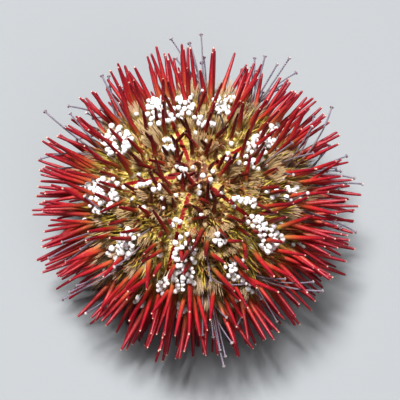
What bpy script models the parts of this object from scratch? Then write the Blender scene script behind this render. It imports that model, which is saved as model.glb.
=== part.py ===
"""A variegated sea urchin at life size, standing on its lower spines.

The test is one turned solid, parted by thin meridian cuts into five ambulacra and five interambulacra.
Spines, white pedicellariae and tube feet grow from these sectors and are fused to them.
Metres, +Z up, the mouth faces the floor at z = 0, and the photo was taken from above the -Y side.
"""

import math
import random

import bmesh
import bpy
import numpy as np
from mathutils import Matrix, Vector

MM = 0.001
GAP = 0.3 * MM
WELD = 0.001 * MM

# The test: a superellipse turned about Z, domed above its widest line and flatter below it
TEST_RADIUS = 29 * MM
TEST_RISE = 20 * MM
TEST_DROP = 13.5 * MM
STANCE = 7.5 * MM
WIDEST_Z = STANCE + TEST_DROP
UPPER_POWER = 2.05
LOWER_POWER = 2.5
TEST_STEPS = 50
TEST_ROWS = 12

# Openings of the test, with the plates, the membranes and the teeth that close them
APICAL_RADIUS = 5 * MM
PERIPROCT_RADIUS = 2 * MM
PERISTOME_RADIUS = 10 * MM
PERISTOME_DEPTH = 4 * MM
LANTERN_RADIUS = 3.6 * MM
PLUG_MEET_Z = 30 * MM
PLUG_STEPS = 20

# Sectors: five narrow ambulacra and five wide interambulacra, turned as they lie in the photo
RAYS = 5
KINDS = ("ambulacrum", "interambulacrum")
SECTOR_TURN = {"ambulacrum": math.radians(28.8), "interambulacrum": math.radians(43.2)}
FIRST_AMBULACRUM = math.radians(1.0)
MADREPORITE_RAY = 1

# Pieces on the plates, the membranes and the teeth
BOSS_RADIUS = 1.15 * MM
BOSS_TAPER = 0.7
BOSS_HEIGHT = 0.4 * MM
MADREPORITE_HEIGHT = 0.75 * MM
PLATE_SPINE_LENGTH = 5.2 * MM
ANUS_DEPTH = 0.5 * MM
BUCCAL_FOOT = {"ring": 6.6 * MM, "turn": 0.17, "length": 2.4 * MM, "radius": 0.4 * MM, "taper": 1.35}
GILL = {"ring": 8.3 * MM, "turn": 0.2, "length": 2.9 * MM, "radius": 0.45 * MM, "taper": 0.6}
GILL_SLOPE = (0.55, -0.83)
MEMBRANE_RISE = 1.0 * MM
LIP_DROP = 0.6 * MM
TOOTH_RADIUS = 0.8 * MM
TOOTH_TAPER = 0.3
TOOTH_RING = 1.9 * MM
TOOTH_TIP_RING = 0.8 * MM
TOOTH_REACH = 3.0 * MM

# Primary spines: short, sparse and leaning every way over the apex, longest and closest at the widest line
UPPER_PITCH = 3.9 * MM
ROW_PITCH = 3.5 * MM
UPPER_SHARE = 0.42
FIRST_ROW = 1.7 * MM
LAST_ROW = 1.4 * MM
LONGEST_SPINE = 19.6 * MM
APEX_SPINE = 8.2 * MM
MOUTH_SPINE = 9.5 * MM
GROWTH = 1.6
LENGTH_RANGE = (0.84, 1.06)
SPINE_BASE = 0.98 * MM
SPINE_BASE_SMALL = 0.6 * MM
TAPER = 0.43
SPINE_SIDES = 4
ROOT_DEPTH = 1.1 * MM
BORDER_MARGIN = 0.5 * MM
SPREAD = 0.17
APEX_LOOSENESS = 1.3
LOOSE_SHARE = 0.3
LONGEST_AT = 0.6
TRIES = 16

# Shares of a sector's width at which its columns of spines stand
OUTER_COLUMN = {"ambulacrum": 0.26, "interambulacrum": 0.35}
INNER_COLUMN = 0.13
INNER_COLUMN_WIDTH = 13.5 * MM

# Spines under the test end flat on the floor, and all others stay above it
STANDING_REACH = 19.5 * MM
STANDING_LEAN = 0.35
STANDING_DROP = 0.72
FLOOR_CLEAR = 1.0 * MM

# White pedicellariae, round heads on thin stalks: few near the apex, clusters towards the widest line.
# Each band holds its first and last share of the meridian and the number of heads in a sector,
# which gather about these shares of the sector's width, between the columns of spines.
HEAD_RADIUS = 0.84 * MM
STALK_RADIUS = 0.32 * MM
STALK_LENGTH = 3.9 * MM
STALK_RANGE = (0.75, 1.3)
HEAD_RINGS = ((0.1, 0.95), (1.35, 0.8))
HEAD_BANDS = ((0.07, 0.3, 3), (0.32, 0.64, 9))
HEAD_COLUMNS = {"ambulacrum": (0.0,), "interambulacrum": (-0.24, 0.24)}
HEAD_SCATTER = 1.1 * MM

# Tube feet, thin stalks that end in a sucker
FOOT_RADIUS = 0.32 * MM
SUCKER_RADIUS = 0.68 * MM
SUCKER_DEPTH = 0.45 * MM
FOOT_BAND = (0.34, 0.66)
FOOT_END_RISE = (-4 * MM, 9 * MM)
FOOT_BOWS = (0, 0.35, 0.7, 1)
FOOT_STRAIGHTNESS = 0.6
FLOOR_FEET = 2
FLOOR_FOOT_BAND = (0.76, 0.93)
FLOOR_FOOT_REACH = (0.5 * MM, 4 * MM)
ANKLE_HEIGHT = 2 * MM

# Where the longest tube feet end in the photo, as azimuth in degrees and distance from the axis in mm
FOOT_ENDS = (
    ((4, 49), (7, 47), (19, 48), (24, 44), (-12, 48), (34, 49)),
    ((88, 53), (98, 52), (92, 48), (69, 51), (65, 50), (58, 54), (52, 49)),
    ((122, 50), (127, 46), (149, 52), (143, 47), (139, 43)),
    ((229, 47), (205, 46), (220, 49)),
    ((279, 52), (283, 46), (277, 43), (302, 44), (320, 47)),
)

SEED = 26
SHARP_ANGLE = math.radians(40)
RED = (0.55, 0.03, 0.04)
OLIVE = (0.36, 0.30, 0.10)
TAN = (0.42, 0.27, 0.13)
IVORY = (0.80, 0.76, 0.62)
GREY_VIOLET = (0.30, 0.24, 0.30)


def clear_scene():
    for old in list(bpy.data.objects):
        bpy.data.objects.remove(old)


def new_group(name):
    group = bpy.data.collections.new(name)
    bpy.context.scene.collection.children.link(group)
    return group


def add_object(name, mesh, group):
    made = bpy.data.objects.new(name, mesh)
    group.objects.link(made)
    return made


def add_shape(name, shape, group):
    """Turns a bmesh into an object and frees it."""
    mesh = bpy.data.meshes.new(name)
    shape.to_mesh(mesh)
    shape.free()
    return add_object(name, mesh, group)


def paint(node, colour, roughness):
    """Gives a node its material, and smooth shading away from its corners."""
    material = bpy.data.materials.new(node.name)
    material.use_nodes = True
    shader = material.node_tree.nodes["Principled BSDF"]
    shader.inputs["Base Color"].default_value = (*colour, 1)
    shader.inputs["Roughness"].default_value = roughness
    shader.inputs["Metallic"].default_value = 0
    node.data.materials.clear()
    node.data.materials.append(material)
    node.data.shade_smooth()
    node.data.set_sharp_from_angle(angle=SHARP_ANGLE)


def radial(azimuth, out, up):
    """A vector with these outward and upward parts at an azimuth."""
    return Vector((out * math.cos(azimuth), out * math.sin(azimuth), up))


def test_point(theta):
    """Radius and height of the test at polar angle theta, 0 at the apex and pi at the mouth."""
    upper = theta <= math.pi / 2
    power, height = (UPPER_POWER, TEST_RISE) if upper else (LOWER_POWER, -TEST_DROP)
    radius = TEST_RADIUS * abs(math.sin(theta)) ** (2 / power)
    return radius, WIDEST_Z + height * abs(math.cos(theta)) ** (2 / power)


def test_normal(theta):
    """Outward normal of the test at theta, as its radial and vertical parts."""
    radius, z = test_point(theta)
    power, height = (UPPER_POWER, TEST_RISE) if z >= WIDEST_Z else (LOWER_POWER, TEST_DROP)
    out = (radius / TEST_RADIUS) ** (power - 1) / TEST_RADIUS
    up = math.copysign((abs(z - WIDEST_Z) / height) ** (power - 1) / height, z - WIDEST_Z)
    size = math.hypot(out, up)
    return out / size, up / size


def test_height(radius):
    """Height of the test's upper side at this distance from its axis."""
    return WIDEST_Z + TEST_RISE * (1 - (radius / TEST_RADIUS) ** UPPER_POWER) ** (1 / UPPER_POWER)


def measure_meridian():
    """Polar angles from apex to mouth, with the radius there and the length of the meridian so far."""
    angles = np.linspace(0.0, math.pi, 721)
    points = np.array([test_point(a) for a in angles])
    steps = np.hypot(*np.diff(points, axis=0).T)
    return angles, points[:, 0], np.concatenate([[0.0], np.cumsum(steps)])


ANGLES, RADII, LENGTHS = measure_meridian()
HALF = len(ANGLES) // 2
APICAL_LENGTH = float(np.interp(APICAL_RADIUS, RADII[:HALF], LENGTHS[:HALF]))
MOUTH_LENGTH = float(np.interp(-PERISTOME_RADIUS, -RADII[HALF:], LENGTHS[HALF:]))


def theta_at(length):
    return float(np.interp(length, LENGTHS, ANGLES))


MOUTH_Z = test_point(theta_at(MOUTH_LENGTH))[1]


def length_at(share):
    """Length of the meridian at a share of the way, 0 at the apical plates and 1 at the peristome."""
    return APICAL_LENGTH + share * (MOUTH_LENGTH - APICAL_LENGTH)


def share_at(length):
    """Share of the way from the apical plates to the peristome at a length of the meridian."""
    return (length - APICAL_LENGTH) / (MOUTH_LENGTH - APICAL_LENGTH)


def sector_centre(kind, ray):
    offset = 0 if kind == "ambulacrum" else math.pi / RAYS
    return FIRST_AMBULACRUM + offset + ray * 2 * math.pi / RAYS


def sector_width(kind, length):
    return SECTOR_TURN[kind] * test_point(theta_at(length))[0]


def surface_frame(kind, ray, length, sideways):
    """Point, normal, down-meridian and sideways directions, so far sideways from the sector's middle."""
    theta = theta_at(length)
    radius, z = test_point(theta)
    out, up = test_normal(theta)
    azimuth = sector_centre(kind, ray) + sideways / radius
    side = Vector((-math.sin(azimuth), math.cos(azimuth), 0))
    return radial(azimuth, radius, z), radial(azimuth, out, up), radial(azimuth, up, -out), side


def stretch_gaps(start, end, starts, ends):
    """Shortest distances from one straight stretch to each of several others."""
    along, others, offset = end - start, ends - starts, start - starts
    a = along @ along
    e = np.einsum("ij,ij->i", others, others)
    f = np.einsum("ij,ij->i", others, offset)
    c = offset @ along
    b = others @ along
    s = np.clip((b * f - c * e) / np.maximum(a * e - b * b, 1e-18), 0, 1)
    t = np.clip((b * s + f) / e, 0, 1)
    s = np.clip((b * t - c) / a, 0, 1)
    near = start + s[:, None] * along
    return np.linalg.norm(near - (starts + t[:, None] * others), axis=1)


class Room:
    """The stretches already taken, each with its radius, so that nothing new comes within GAP of them."""

    def __init__(self):
        self.starts, self.ends, self.radii = [], [], []

    def free(self, start, end, radius):
        if not self.starts:
            return True
        gaps = stretch_gaps(np.array(start), np.array(end), np.array(self.starts), np.array(self.ends))
        return bool(np.all(gaps > np.array(self.radii) + radius + GAP))

    def take(self, start, end, radius):
        self.starts.append(tuple(start))
        self.ends.append(tuple(end))
        self.radii.append(radius)

    def claim(self, stretches):
        """Takes all of the (start, end, radius) stretches if every one of them is free."""
        if not all(self.free(*stretch) for stretch in stretches):
            return False
        for stretch in stretches:
            self.take(*stretch)
        return True


def tilted(draw, normal, down, side, spread):
    return (normal + down * draw.gauss(0, spread) + side * draw.gauss(0, spread)).normalized()


def spine_length(share):
    """Length before it is varied: short over the apex, longest at the widest line."""
    if share < LONGEST_AT:
        growth = math.sin(share / LONGEST_AT * math.pi / 2) ** GROWTH
        return APEX_SPINE + (LONGEST_SPINE - APEX_SPINE) * growth
    fall = math.cos((share - LONGEST_AT) / (1 - LONGEST_AT) * math.pi / 2)
    return MOUTH_SPINE + (LONGEST_SPINE - MOUTH_SPINE) * fall


def spine_stretches(spine):
    """The two halves of a spine, each with its greatest radius."""
    point, direction, length, radius = spine
    middle, tip = point + direction * length / 2, point + direction * length
    return [(point, middle, radius), (middle, tip, radius * (1 + TAPER) / 2)]


def spine_radius(share):
    size = min(1, 1.15 * spine_length(share) / LONGEST_SPINE)
    return SPINE_BASE_SMALL + (SPINE_BASE - SPINE_BASE_SMALL) * size


def lean_clear_of_floor(point, direction, length):
    """Lifts a direction just enough to keep the tip above the floor."""
    lowest = (FLOOR_CLEAR - point.z) / length
    if direction.z >= lowest:
        return direction
    level = Vector((direction.x, direction.y, 0)).normalized()
    return level * math.sqrt(1 - lowest * lowest) + Vector((0, 0, lowest))


def stand_on_floor(point, direction):
    """Direction and length of a spine under the test, which leans out and ends on the floor."""
    level = Vector((point.x, point.y, 0)).normalized()
    leaning = (direction + level * STANDING_LEAN).normalized()
    leaning.z = min(leaning.z, -STANDING_DROP)
    leaning.normalize()
    return leaning, point.z / -leaning.z


def column_places(kind, width, radius):
    """Sideways places of the spine columns across a sector of this width."""
    places = [max(0.3 * radius, min(OUTER_COLUMN[kind] * width, width / 2 - radius - BORDER_MARGIN))]
    if kind == "interambulacrum" and width > INNER_COLUMN_WIDTH:
        places.append(INNER_COLUMN * width)
    return [side * place for place in places for side in (-1, 1)]


def spine_spots(kind):
    """Every place of a spine in a sector, as its length down the meridian and sideways."""
    spots = []
    length = APICAL_LENGTH + FIRST_ROW
    while length < MOUTH_LENGTH - LAST_ROW:
        pitch = UPPER_PITCH if share_at(length) < UPPER_SHARE else ROW_PITCH
        places = column_places(kind, sector_width(kind, length), spine_radius(share_at(length)))
        for column, place in enumerate(places):
            staggered = length + 0.5 * (column % 2) * pitch
            if staggered < MOUTH_LENGTH - LAST_ROW:
                spots.append((staggered, place))
        length += pitch
    return spots


def place_spines(kind, ray, draw, room):
    """Spines of one sector, as (point, direction, length, base radius)."""
    spines = []
    for length_down, place in spine_spots(kind):
        point, normal, down, side = surface_frame(kind, ray, length_down, place)
        share = share_at(length_down)
        radius = spine_radius(share)
        under = share > LONGEST_AT and math.hypot(point.x, point.y) < STANDING_REACH
        spread = SPREAD * (1 + APEX_LOOSENESS * max(0, 1 - share / LOOSE_SHARE))
        for _ in range(TRIES):
            direction = tilted(draw, normal, down, side, spread)
            length = spine_length(share) * draw.uniform(*LENGTH_RANGE)
            if under:
                direction, length = stand_on_floor(point, direction)
            else:
                direction = lean_clear_of_floor(point, direction, length)
            spine = (point, direction, length, radius)
            if room.claim(spine_stretches(spine)):
                spines.append(spine)
                break
    return spines


def place_heads(kind, ray, draw, room):
    """Pedicellariae of one sector, as (point, direction, stalk length)."""
    heads = []
    spots = [(first, last) for first, last, number in HEAD_BANDS for _ in range(number)]
    for first, last in spots:
        for _ in range(TRIES):
            length_down = length_at(draw.uniform(first, last))
            place = draw.choice(HEAD_COLUMNS[kind]) * sector_width(kind, length_down)
            place += draw.gauss(0, HEAD_SCATTER)
            reach = sector_width(kind, length_down) / 2 - STALK_RADIUS - BORDER_MARGIN
            place = max(-reach, min(reach, place))
            point, normal, down, side = surface_frame(kind, ray, length_down, place)
            direction = tilted(draw, normal, down, side, SPREAD)
            length = STALK_LENGTH * draw.uniform(*STALK_RANGE)
            head = point + direction * length
            crown = head + direction * HEAD_RINGS[-1][0] * HEAD_RADIUS
            if room.claim([(head, crown, HEAD_RADIUS), (point, head, STALK_RADIUS)]):
                heads.append((point, direction, length))
                break
    return heads


def foot_root(ray, share, side_sign):
    """Where a tube foot leaves the test: beside a border of its ambulacrum."""
    length = length_at(share)
    sideways = side_sign * (sector_width("ambulacrum", length) / 2 - FOOT_RADIUS - 1.5 * BORDER_MARGIN)
    return surface_frame("ambulacrum", ray, length, sideways)


def place_long_feet(ray, draw, room):
    """The long tube feet of one ambulacrum that the photo shows past the spines, each as a list of points."""
    feet = []
    for degrees, reach in FOOT_ENDS[ray]:
        turn = math.radians(degrees) - sector_centre("ambulacrum", ray)
        side_sign = math.copysign(1, math.sin(turn))
        for _ in range(6 * TRIES):
            point, normal, down, side = foot_root(ray, draw.uniform(*FOOT_BAND), side_sign)
            end = radial(math.radians(degrees), reach * MM, WIDEST_Z + draw.uniform(*FOOT_END_RISE))
            straight = (end - point).normalized()
            start = tilted(draw, (normal + straight).normalized(), down, side, 0.06)
            bend = point + start * (end - point).length * 0.5
            bows = [point.lerp(bend, t).lerp(bend.lerp(end, t), t) for t in FOOT_BOWS]
            stretches = [(*pair, FOOT_RADIUS) for pair in zip(bows, bows[1:])]
            stretches.append((end - straight * SUCKER_DEPTH, end, SUCKER_RADIUS))
            if straight.dot(normal) > FOOT_STRAIGHTNESS and room.claim(stretches):
                feet.append([point - start * ROOT_DEPTH, *bows[1:]])
                break
    return feet


def place_floor_feet(ray, draw, room):
    """Short tube feet under an ambulacrum that hold on to the floor."""
    feet = []
    for foot in range(FLOOR_FEET):
        for _ in range(6 * TRIES):
            point, normal, _, _ = foot_root(ray, draw.uniform(*FLOOR_FOOT_BAND), 2 * foot - 1)
            azimuth = math.atan2(point.y, point.x) + draw.gauss(0, 0.06)
            end = radial(azimuth, math.hypot(point.x, point.y) + draw.uniform(*FLOOR_FOOT_REACH), 0)
            ankle = end + Vector((0, 0, ANKLE_HEIGHT))
            if room.claim([(point, ankle, FOOT_RADIUS), (ankle, end, SUCKER_RADIUS)]):
                feet.append([point - normal * ROOT_DEPTH, point + normal * SUCKER_DEPTH, ankle, end])
                break
    return feet


def along(direction, point):
    """The matrix that stands a Z-aligned piece at point, along direction."""
    return Matrix.Translation(point) @ direction.to_track_quat("Z", "Y").to_matrix().to_4x4()


def spine_piece(name, spine, group, taper=TAPER):
    """A tapered rod whose root is sunk in the test; one that reaches the floor ends flat on it."""
    point, direction, length, radius = spine
    tip_radius = taper * radius
    shape = bmesh.new()
    bmesh.ops.create_cone(
        shape,
        cap_ends=True,
        segments=SPINE_SIDES,
        radius1=radius,
        radius2=tip_radius,
        depth=length + ROOT_DEPTH,
    )
    middle = point + direction * (length - ROOT_DEPTH) / 2
    bmesh.ops.transform(shape, matrix=along(direction, middle), verts=shape.verts)
    tip = point + direction * length
    if tip.z < 0.5 * FLOOR_CLEAR:
        for corner in shape.verts:
            if (corner.co - tip).length < 2 * tip_radius:
                corner.co -= direction * (corner.co.z / direction.z)
    return add_shape(name, shape, group)


def head_piece(name, place, group):
    """A thin stalk whose top is drawn out, ring by ring, into a round head."""
    point, direction, length = place
    shape = bmesh.new()
    bmesh.ops.create_cone(
        shape,
        cap_ends=True,
        segments=SPINE_SIDES,
        radius1=STALK_RADIUS,
        radius2=STALK_RADIUS,
        depth=length + ROOT_DEPTH,
    )
    bmesh.ops.translate(shape, vec=(0, 0, (length - ROOT_DEPTH) / 2), verts=shape.verts)
    shape.normal_update()
    top = [face for face in shape.faces if face.normal.z > 0.9]
    for rise, share in HEAD_RINGS:
        made = bmesh.ops.extrude_discrete_faces(shape, faces=top)
        top = made["faces"]
        for corner in top[0].verts:
            flat = Vector((corner.co.x, corner.co.y, 0)).normalized() * HEAD_RADIUS * share
            corner.co = Vector((flat.x, flat.y, length + rise * HEAD_RADIUS))
    bmesh.ops.transform(shape, matrix=along(direction, point), verts=shape.verts)
    return add_shape(name, shape, group)


def foot_piece(name, points, group):
    """A thin bent stalk with a flat sucker on its end, as a bevelled curve made into a mesh."""
    end = points[-1]
    last = (end - points[-2]).normalized()
    flare = SUCKER_RADIUS / FOOT_RADIUS
    path = [(p, 1) for p in points[:-1]]
    path.append((end - last * SUCKER_DEPTH, 1))
    path.append((end - last * 0.5 * SUCKER_DEPTH, flare))
    path.append((end, flare))
    curve = bpy.data.curves.new(name, "CURVE")
    curve.dimensions = "3D"
    curve.bevel_depth = FOOT_RADIUS
    curve.bevel_resolution = 0
    curve.use_fill_caps = True
    spline = curve.splines.new("POLY")
    spline.points.add(len(path) - 1)
    for corner, (place, share) in zip(spline.points, path):
        corner.co = (*place, 1)
        corner.radius = share
    return curve_to_mesh(name, curve, group)


def curve_to_mesh(name, curve, group):
    """A curve's own solid as a mesh object, with its caps welded on."""
    guide = add_object(name + "_guide", curve, group)
    bpy.context.view_layer.update()
    graph = bpy.context.evaluated_depsgraph_get()
    mesh = bpy.data.meshes.new_from_object(guide.evaluated_get(graph))
    bpy.data.objects.remove(guide)
    bpy.data.curves.remove(curve)
    shape = bmesh.new()
    shape.from_mesh(mesh)
    bpy.data.meshes.remove(mesh)
    bmesh.ops.remove_doubles(shape, verts=shape.verts, dist=WELD)
    bmesh.ops.recalc_face_normals(shape, faces=shape.faces)
    return add_shape(name, shape, group)


def turned(name, profile, steps, group):
    """A closed profile of (radius, height) points turned about Z, open where it meets the axis."""
    shape = bmesh.new()
    corners = [shape.verts.new((radius, 0, z)) for radius, z in profile]
    rim = [shape.edges.new((a, b)) for a, b in zip(corners, corners[1:])]
    if profile[0][0] > 0:
        rim.append(shape.edges.new((corners[-1], corners[0])))
    bmesh.ops.spin(
        shape,
        geom=corners + rim,
        cent=(0, 0, 0),
        axis=(0, 0, 1),
        angle=2 * math.pi,
        steps=steps,
        use_merge=True,
    )
    bmesh.ops.remove_doubles(shape, verts=shape.verts, dist=WELD)
    bmesh.ops.recalc_face_normals(shape, faces=shape.faces)
    bmesh.ops.rotate(shape, matrix=Matrix.Rotation(FIRST_AMBULACRUM, 3, "Z"), verts=shape.verts)
    return add_shape(name, shape, group)


def apply_boolean(body, operation, group):
    """Joins every object of the group to the body, or cuts them from it, and removes them."""
    modifier = body.modifiers.new("pieces", "BOOLEAN")
    modifier.operand_type = "COLLECTION"
    modifier.collection = group
    modifier.operation = operation
    modifier.solver = "MANIFOLD"
    bpy.context.view_layer.update()
    graph = bpy.context.evaluated_depsgraph_get()
    mesh = bpy.data.meshes.new_from_object(body.evaluated_get(graph))
    body.modifiers.clear()
    body.data = mesh
    for piece in list(group.objects):
        bpy.data.objects.remove(piece)
    bpy.data.collections.remove(group)


def closed_surfaces(shape):
    """The faces of each connected surface of a bmesh, as lists."""
    left, found = set(shape.faces), []
    while left:
        reached = [left.pop()]
        for face in reached:
            for corner in face.verts:
                fresh = [f for f in corner.link_faces if f in left]
                left.difference_update(fresh)
                reached.extend(fresh)
        found.append(reached)
    return found


def join_pieces(body, group):
    """Fuses the pieces to the body, which then keeps only its largest closed surface."""
    apply_boolean(body, "UNION", group)
    shape = bmesh.new()
    shape.from_mesh(body.data)
    surfaces = sorted(closed_surfaces(shape), key=lambda faces: sum(f.calc_area() for f in faces))
    for faces in surfaces[:-1]:
        bmesh.ops.delete(shape, geom=faces, context="FACES")
    bmesh.ops.triangulate(shape, faces=shape.faces)
    shape.to_mesh(body.data)
    shape.free()


def split_by_cuts(body, cuts, names, parts):
    """Parts a solid by thin upright cuts at these azimuths, and names each piece by the nearest azimuth."""
    cutters = new_group("cutters")
    reach, tall = 2.2 * TEST_RADIUS, 4 * TEST_RADIUS
    for azimuth in cuts:
        shape = bmesh.new()
        bmesh.ops.create_cube(shape, size=1)
        bmesh.ops.scale(shape, vec=(reach, GAP, tall), verts=shape.verts)
        bmesh.ops.translate(shape, vec=(reach / 2, 0, 0), verts=shape.verts)
        bmesh.ops.rotate(shape, matrix=Matrix.Rotation(azimuth, 3, "Z"), verts=shape.verts)
        add_shape("cut", shape, cutters)
    apply_boolean(body, "DIFFERENCE", cutters)
    whole = bmesh.new()
    whole.from_mesh(body.data)
    whole.faces.ensure_lookup_table()
    nodes = {}
    for faces in closed_surfaces(whole):
        middle = sum((f.calc_center_median() * f.calc_area() for f in faces), Vector())
        name = nearest_name(math.atan2(middle.y, middle.x), names)
        kept = {face.index for face in faces}
        shape = whole.copy()
        bmesh.ops.delete(shape, geom=[f for f in shape.faces if f.index not in kept], context="FACES")
        nodes[name] = add_shape(name, shape, parts)
    whole.free()
    bpy.data.objects.remove(body)
    return nodes


def nearest_name(azimuth, names):
    """The name whose azimuth lies nearest round the circle; names maps each name to its azimuth."""
    return min(names, key=lambda name: 1 - math.cos(azimuth - names[name]))


def build_sectors(parts):
    """The ten sectors of the test, as a mapping from (kind, ray) to the node."""
    outer = [test_point(theta_at(x)) for x in np.linspace(APICAL_LENGTH, MOUTH_LENGTH, TEST_ROWS + 1)]
    seat_z = MOUTH_Z + PERISTOME_DEPTH
    bore = [
        (PERISTOME_RADIUS, seat_z),
        (LANTERN_RADIUS + GAP, seat_z),
        (LANTERN_RADIUS + GAP, PLUG_MEET_Z),
        (APICAL_RADIUS, PLUG_MEET_Z),
    ]
    test = turned("test", outer + bore, TEST_STEPS, parts)
    half = SECTOR_TURN["ambulacrum"] / 2
    cuts = [sector_centre("ambulacrum", ray) + side * half for ray in range(RAYS) for side in (-1, 1)]
    keys = {f"{kind}_{ray + 1}": (kind, ray) for kind in KINDS for ray in range(RAYS)}
    nodes = split_by_cuts(test, cuts, {name: sector_centre(*key) for name, key in keys.items()}, parts)
    return {keys[name]: node for name, node in nodes.items()}


def ray_cuts():
    return [sector_centre("ambulacrum", ray) for ray in range(RAYS)]


def build_apical_plates(parts, room):
    """Five plates round the anus, one of them the porous madreporite, each with a short spine."""
    outer, inner = APICAL_RADIUS - GAP, PERIPROCT_RADIUS + GAP
    top = [(r, test_height(r)) for r in (inner, (inner + outer) / 2, outer)]
    profile = [*top, (outer, PLUG_MEET_Z + GAP), (inner, PLUG_MEET_Z + GAP)]
    names = {f"genital_plate_{ray + 1}": sector_centre("interambulacrum", ray) for ray in range(RAYS)}
    names["madreporite"] = names.pop(f"genital_plate_{MADREPORITE_RAY + 1}")
    nodes = split_by_cuts(turned("apical", profile, PLUG_STEPS, parts), ray_cuts(), names, parts)
    radius = (inner + outer) / 2
    for name, azimuth in names.items():
        pieces = new_group("plate_pieces")
        point = radial(azimuth, radius, test_height(radius))
        height = MADREPORITE_HEIGHT if name == "madreporite" else BOSS_HEIGHT
        spine_piece("boss", (point, Vector((0, 0, 1)), height, BOSS_RADIUS), pieces, BOSS_TAPER)
        if name != "madreporite":
            direction = radial(azimuth + 0.5, 0.3, 1).normalized()
            spine = (point, direction, PLATE_SPINE_LENGTH, SPINE_BASE_SMALL)
            if room.claim(spine_stretches(spine)):
                spine_piece("spine", spine, pieces)
        join_pieces(nodes[name], pieces)
    return nodes


def build_periproct(parts):
    """The round membrane at the very top, with the anus as a dimple."""
    top = test_height(0)
    profile = [
        (0, top - ANUS_DEPTH),
        (0.25 * PERIPROCT_RADIUS, top - 0.8 * ANUS_DEPTH),
        (0.5 * PERIPROCT_RADIUS, top + 0.5 * ANUS_DEPTH),
        (PERIPROCT_RADIUS, top - 0.2 * ANUS_DEPTH),
        (PERIPROCT_RADIUS, PLUG_MEET_Z + GAP),
        (0, PLUG_MEET_Z + GAP),
    ]
    return turned("periproct", profile, PLUG_STEPS // 2, parts)


def place_mouth_pieces(room):
    """Buccal feet and gill filaments on the peristome, each as a spine and its taper."""
    pieces = []
    for ray in range(RAYS):
        centre = sector_centre("ambulacrum", ray)
        for side in (-1, 1):
            azimuth = centre + side * BUCCAL_FOOT["turn"]
            pieces.append(mouth_piece(BUCCAL_FOOT, azimuth, Vector((0, 0, -1))))
            border = centre + side * SECTOR_TURN["ambulacrum"] / 2
            for turn in (-GILL["turn"], GILL["turn"]):
                direction = radial(border + turn, *GILL_SLOPE).normalized()
                pieces.append(mouth_piece(GILL, border + 0.3 * turn, direction))
    for (root, direction, length, radius), taper in pieces:
        room.take(root, root + direction * length, radius * max(1, taper))
    return pieces


def mouth_piece(form, azimuth, direction):
    """One buccal foot or gill filament, rooted in the membrane."""
    root = radial(azimuth, form["ring"], MOUTH_Z + 0.8 * MEMBRANE_RISE)
    return (root, direction, form["length"], form["radius"]), form["taper"]


def build_peristome(parts, mouth_pieces):
    """The soft ring round the mouth, with five pairs of buccal feet and five pairs of gills."""
    outer, inner = PERISTOME_RADIUS - GAP, LANTERN_RADIUS + 2 * GAP
    top = MOUTH_Z + PERISTOME_DEPTH - GAP
    profile = [
        (outer, top),
        (outer, MOUTH_Z + 0.6 * MEMBRANE_RISE),
        (0.7 * outer, MOUTH_Z + MEMBRANE_RISE),
        (1.3 * inner, MOUTH_Z + 0.2 * MEMBRANE_RISE),
        (inner, MOUTH_Z - LIP_DROP),
        (inner, top),
    ]
    ring = turned("peristome", profile, PLUG_STEPS, parts)
    group = new_group("mouth_pieces")
    for piece, taper in mouth_pieces:
        spine_piece("mouth_piece", piece, group, taper)
    join_pieces(ring, group)
    return ring


def build_teeth(parts):
    """The five teeth of the lantern, whose tips lean together over the mouth."""
    profile = [
        (0, PLUG_MEET_Z),
        (LANTERN_RADIUS, PLUG_MEET_Z),
        (LANTERN_RADIUS, MOUTH_Z - 0.5 * LIP_DROP),
        (0.6 * LANTERN_RADIUS, MOUTH_Z - LIP_DROP),
        (0, MOUTH_Z - 0.7 * LIP_DROP),
    ]
    names = {f"tooth_{ray + 1}": sector_centre("interambulacrum", ray) for ray in range(RAYS)}
    nodes = split_by_cuts(turned("lantern", profile, PLUG_STEPS, parts), ray_cuts(), names, parts)
    for name, azimuth in names.items():
        pieces = new_group("tooth_pieces")
        base = radial(azimuth, TOOTH_RING, MOUTH_Z - 0.7 * LIP_DROP)
        reach = radial(azimuth, TOOTH_TIP_RING, base.z - TOOTH_REACH) - base
        spine_piece("tip", (base, reach.normalized(), reach.length, TOOTH_RADIUS), pieces, TOOTH_TAPER)
        join_pieces(nodes[name], pieces)
    return nodes


def centre_on_floor(parts):
    """Moves every node sideways so that the middle of the whole object's box is at the origin."""
    corners = [vertex.co for node in parts.objects for vertex in node.data.vertices]
    across = [(min(c[axis] for c in corners) + max(c[axis] for c in corners)) / 2 for axis in (0, 1)]
    for node in parts.objects:
        node.data.transform(Matrix.Translation((-across[0], -across[1], 0)))


def main():
    clear_scene()
    draw = random.Random(SEED)
    room = Room()
    parts = new_group("sea_urchin")
    sectors = build_sectors(parts)
    plates = build_apical_plates(parts, room)
    mouth_pieces = place_mouth_pieces(room)
    keys = [(kind, ray) for kind in KINDS for ray in range(RAYS)]
    rays = range(RAYS)
    floor_feet = [place_floor_feet(ray, draw, room) for ray in rays]
    long_feet = [place_long_feet(ray, draw, room) for ray in rays]
    spines = {key: place_spines(*key, draw, room) for key in keys}
    heads = {key: place_heads(*key, draw, room) for key in keys}
    for key in keys:
        kind, ray = key
        pieces = new_group("pieces")
        for spine in spines[key]:
            spine_piece("spine", spine, pieces)
        for place in heads[key]:
            head_piece("head", place, pieces)
        if kind == "ambulacrum":
            for points in long_feet[ray] + floor_feet[ray]:
                foot_piece("foot", points, pieces)
        join_pieces(sectors[key], pieces)
        paint(sectors[key], TAN if kind == "ambulacrum" else OLIVE, 0.5)
    for node in plates.values():
        paint(node, RED, 0.45)
    paint(build_periproct(parts), TAN, 0.55)
    paint(build_peristome(parts, mouth_pieces), GREY_VIOLET, 0.4)
    for node in build_teeth(parts).values():
        paint(node, IVORY, 0.3)
    centre_on_floor(parts)


main()
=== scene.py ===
"""The sea urchin's looks: one skin over the test, with spines, pedicellariae, tube feet and down on it."""

import math
import random

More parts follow.
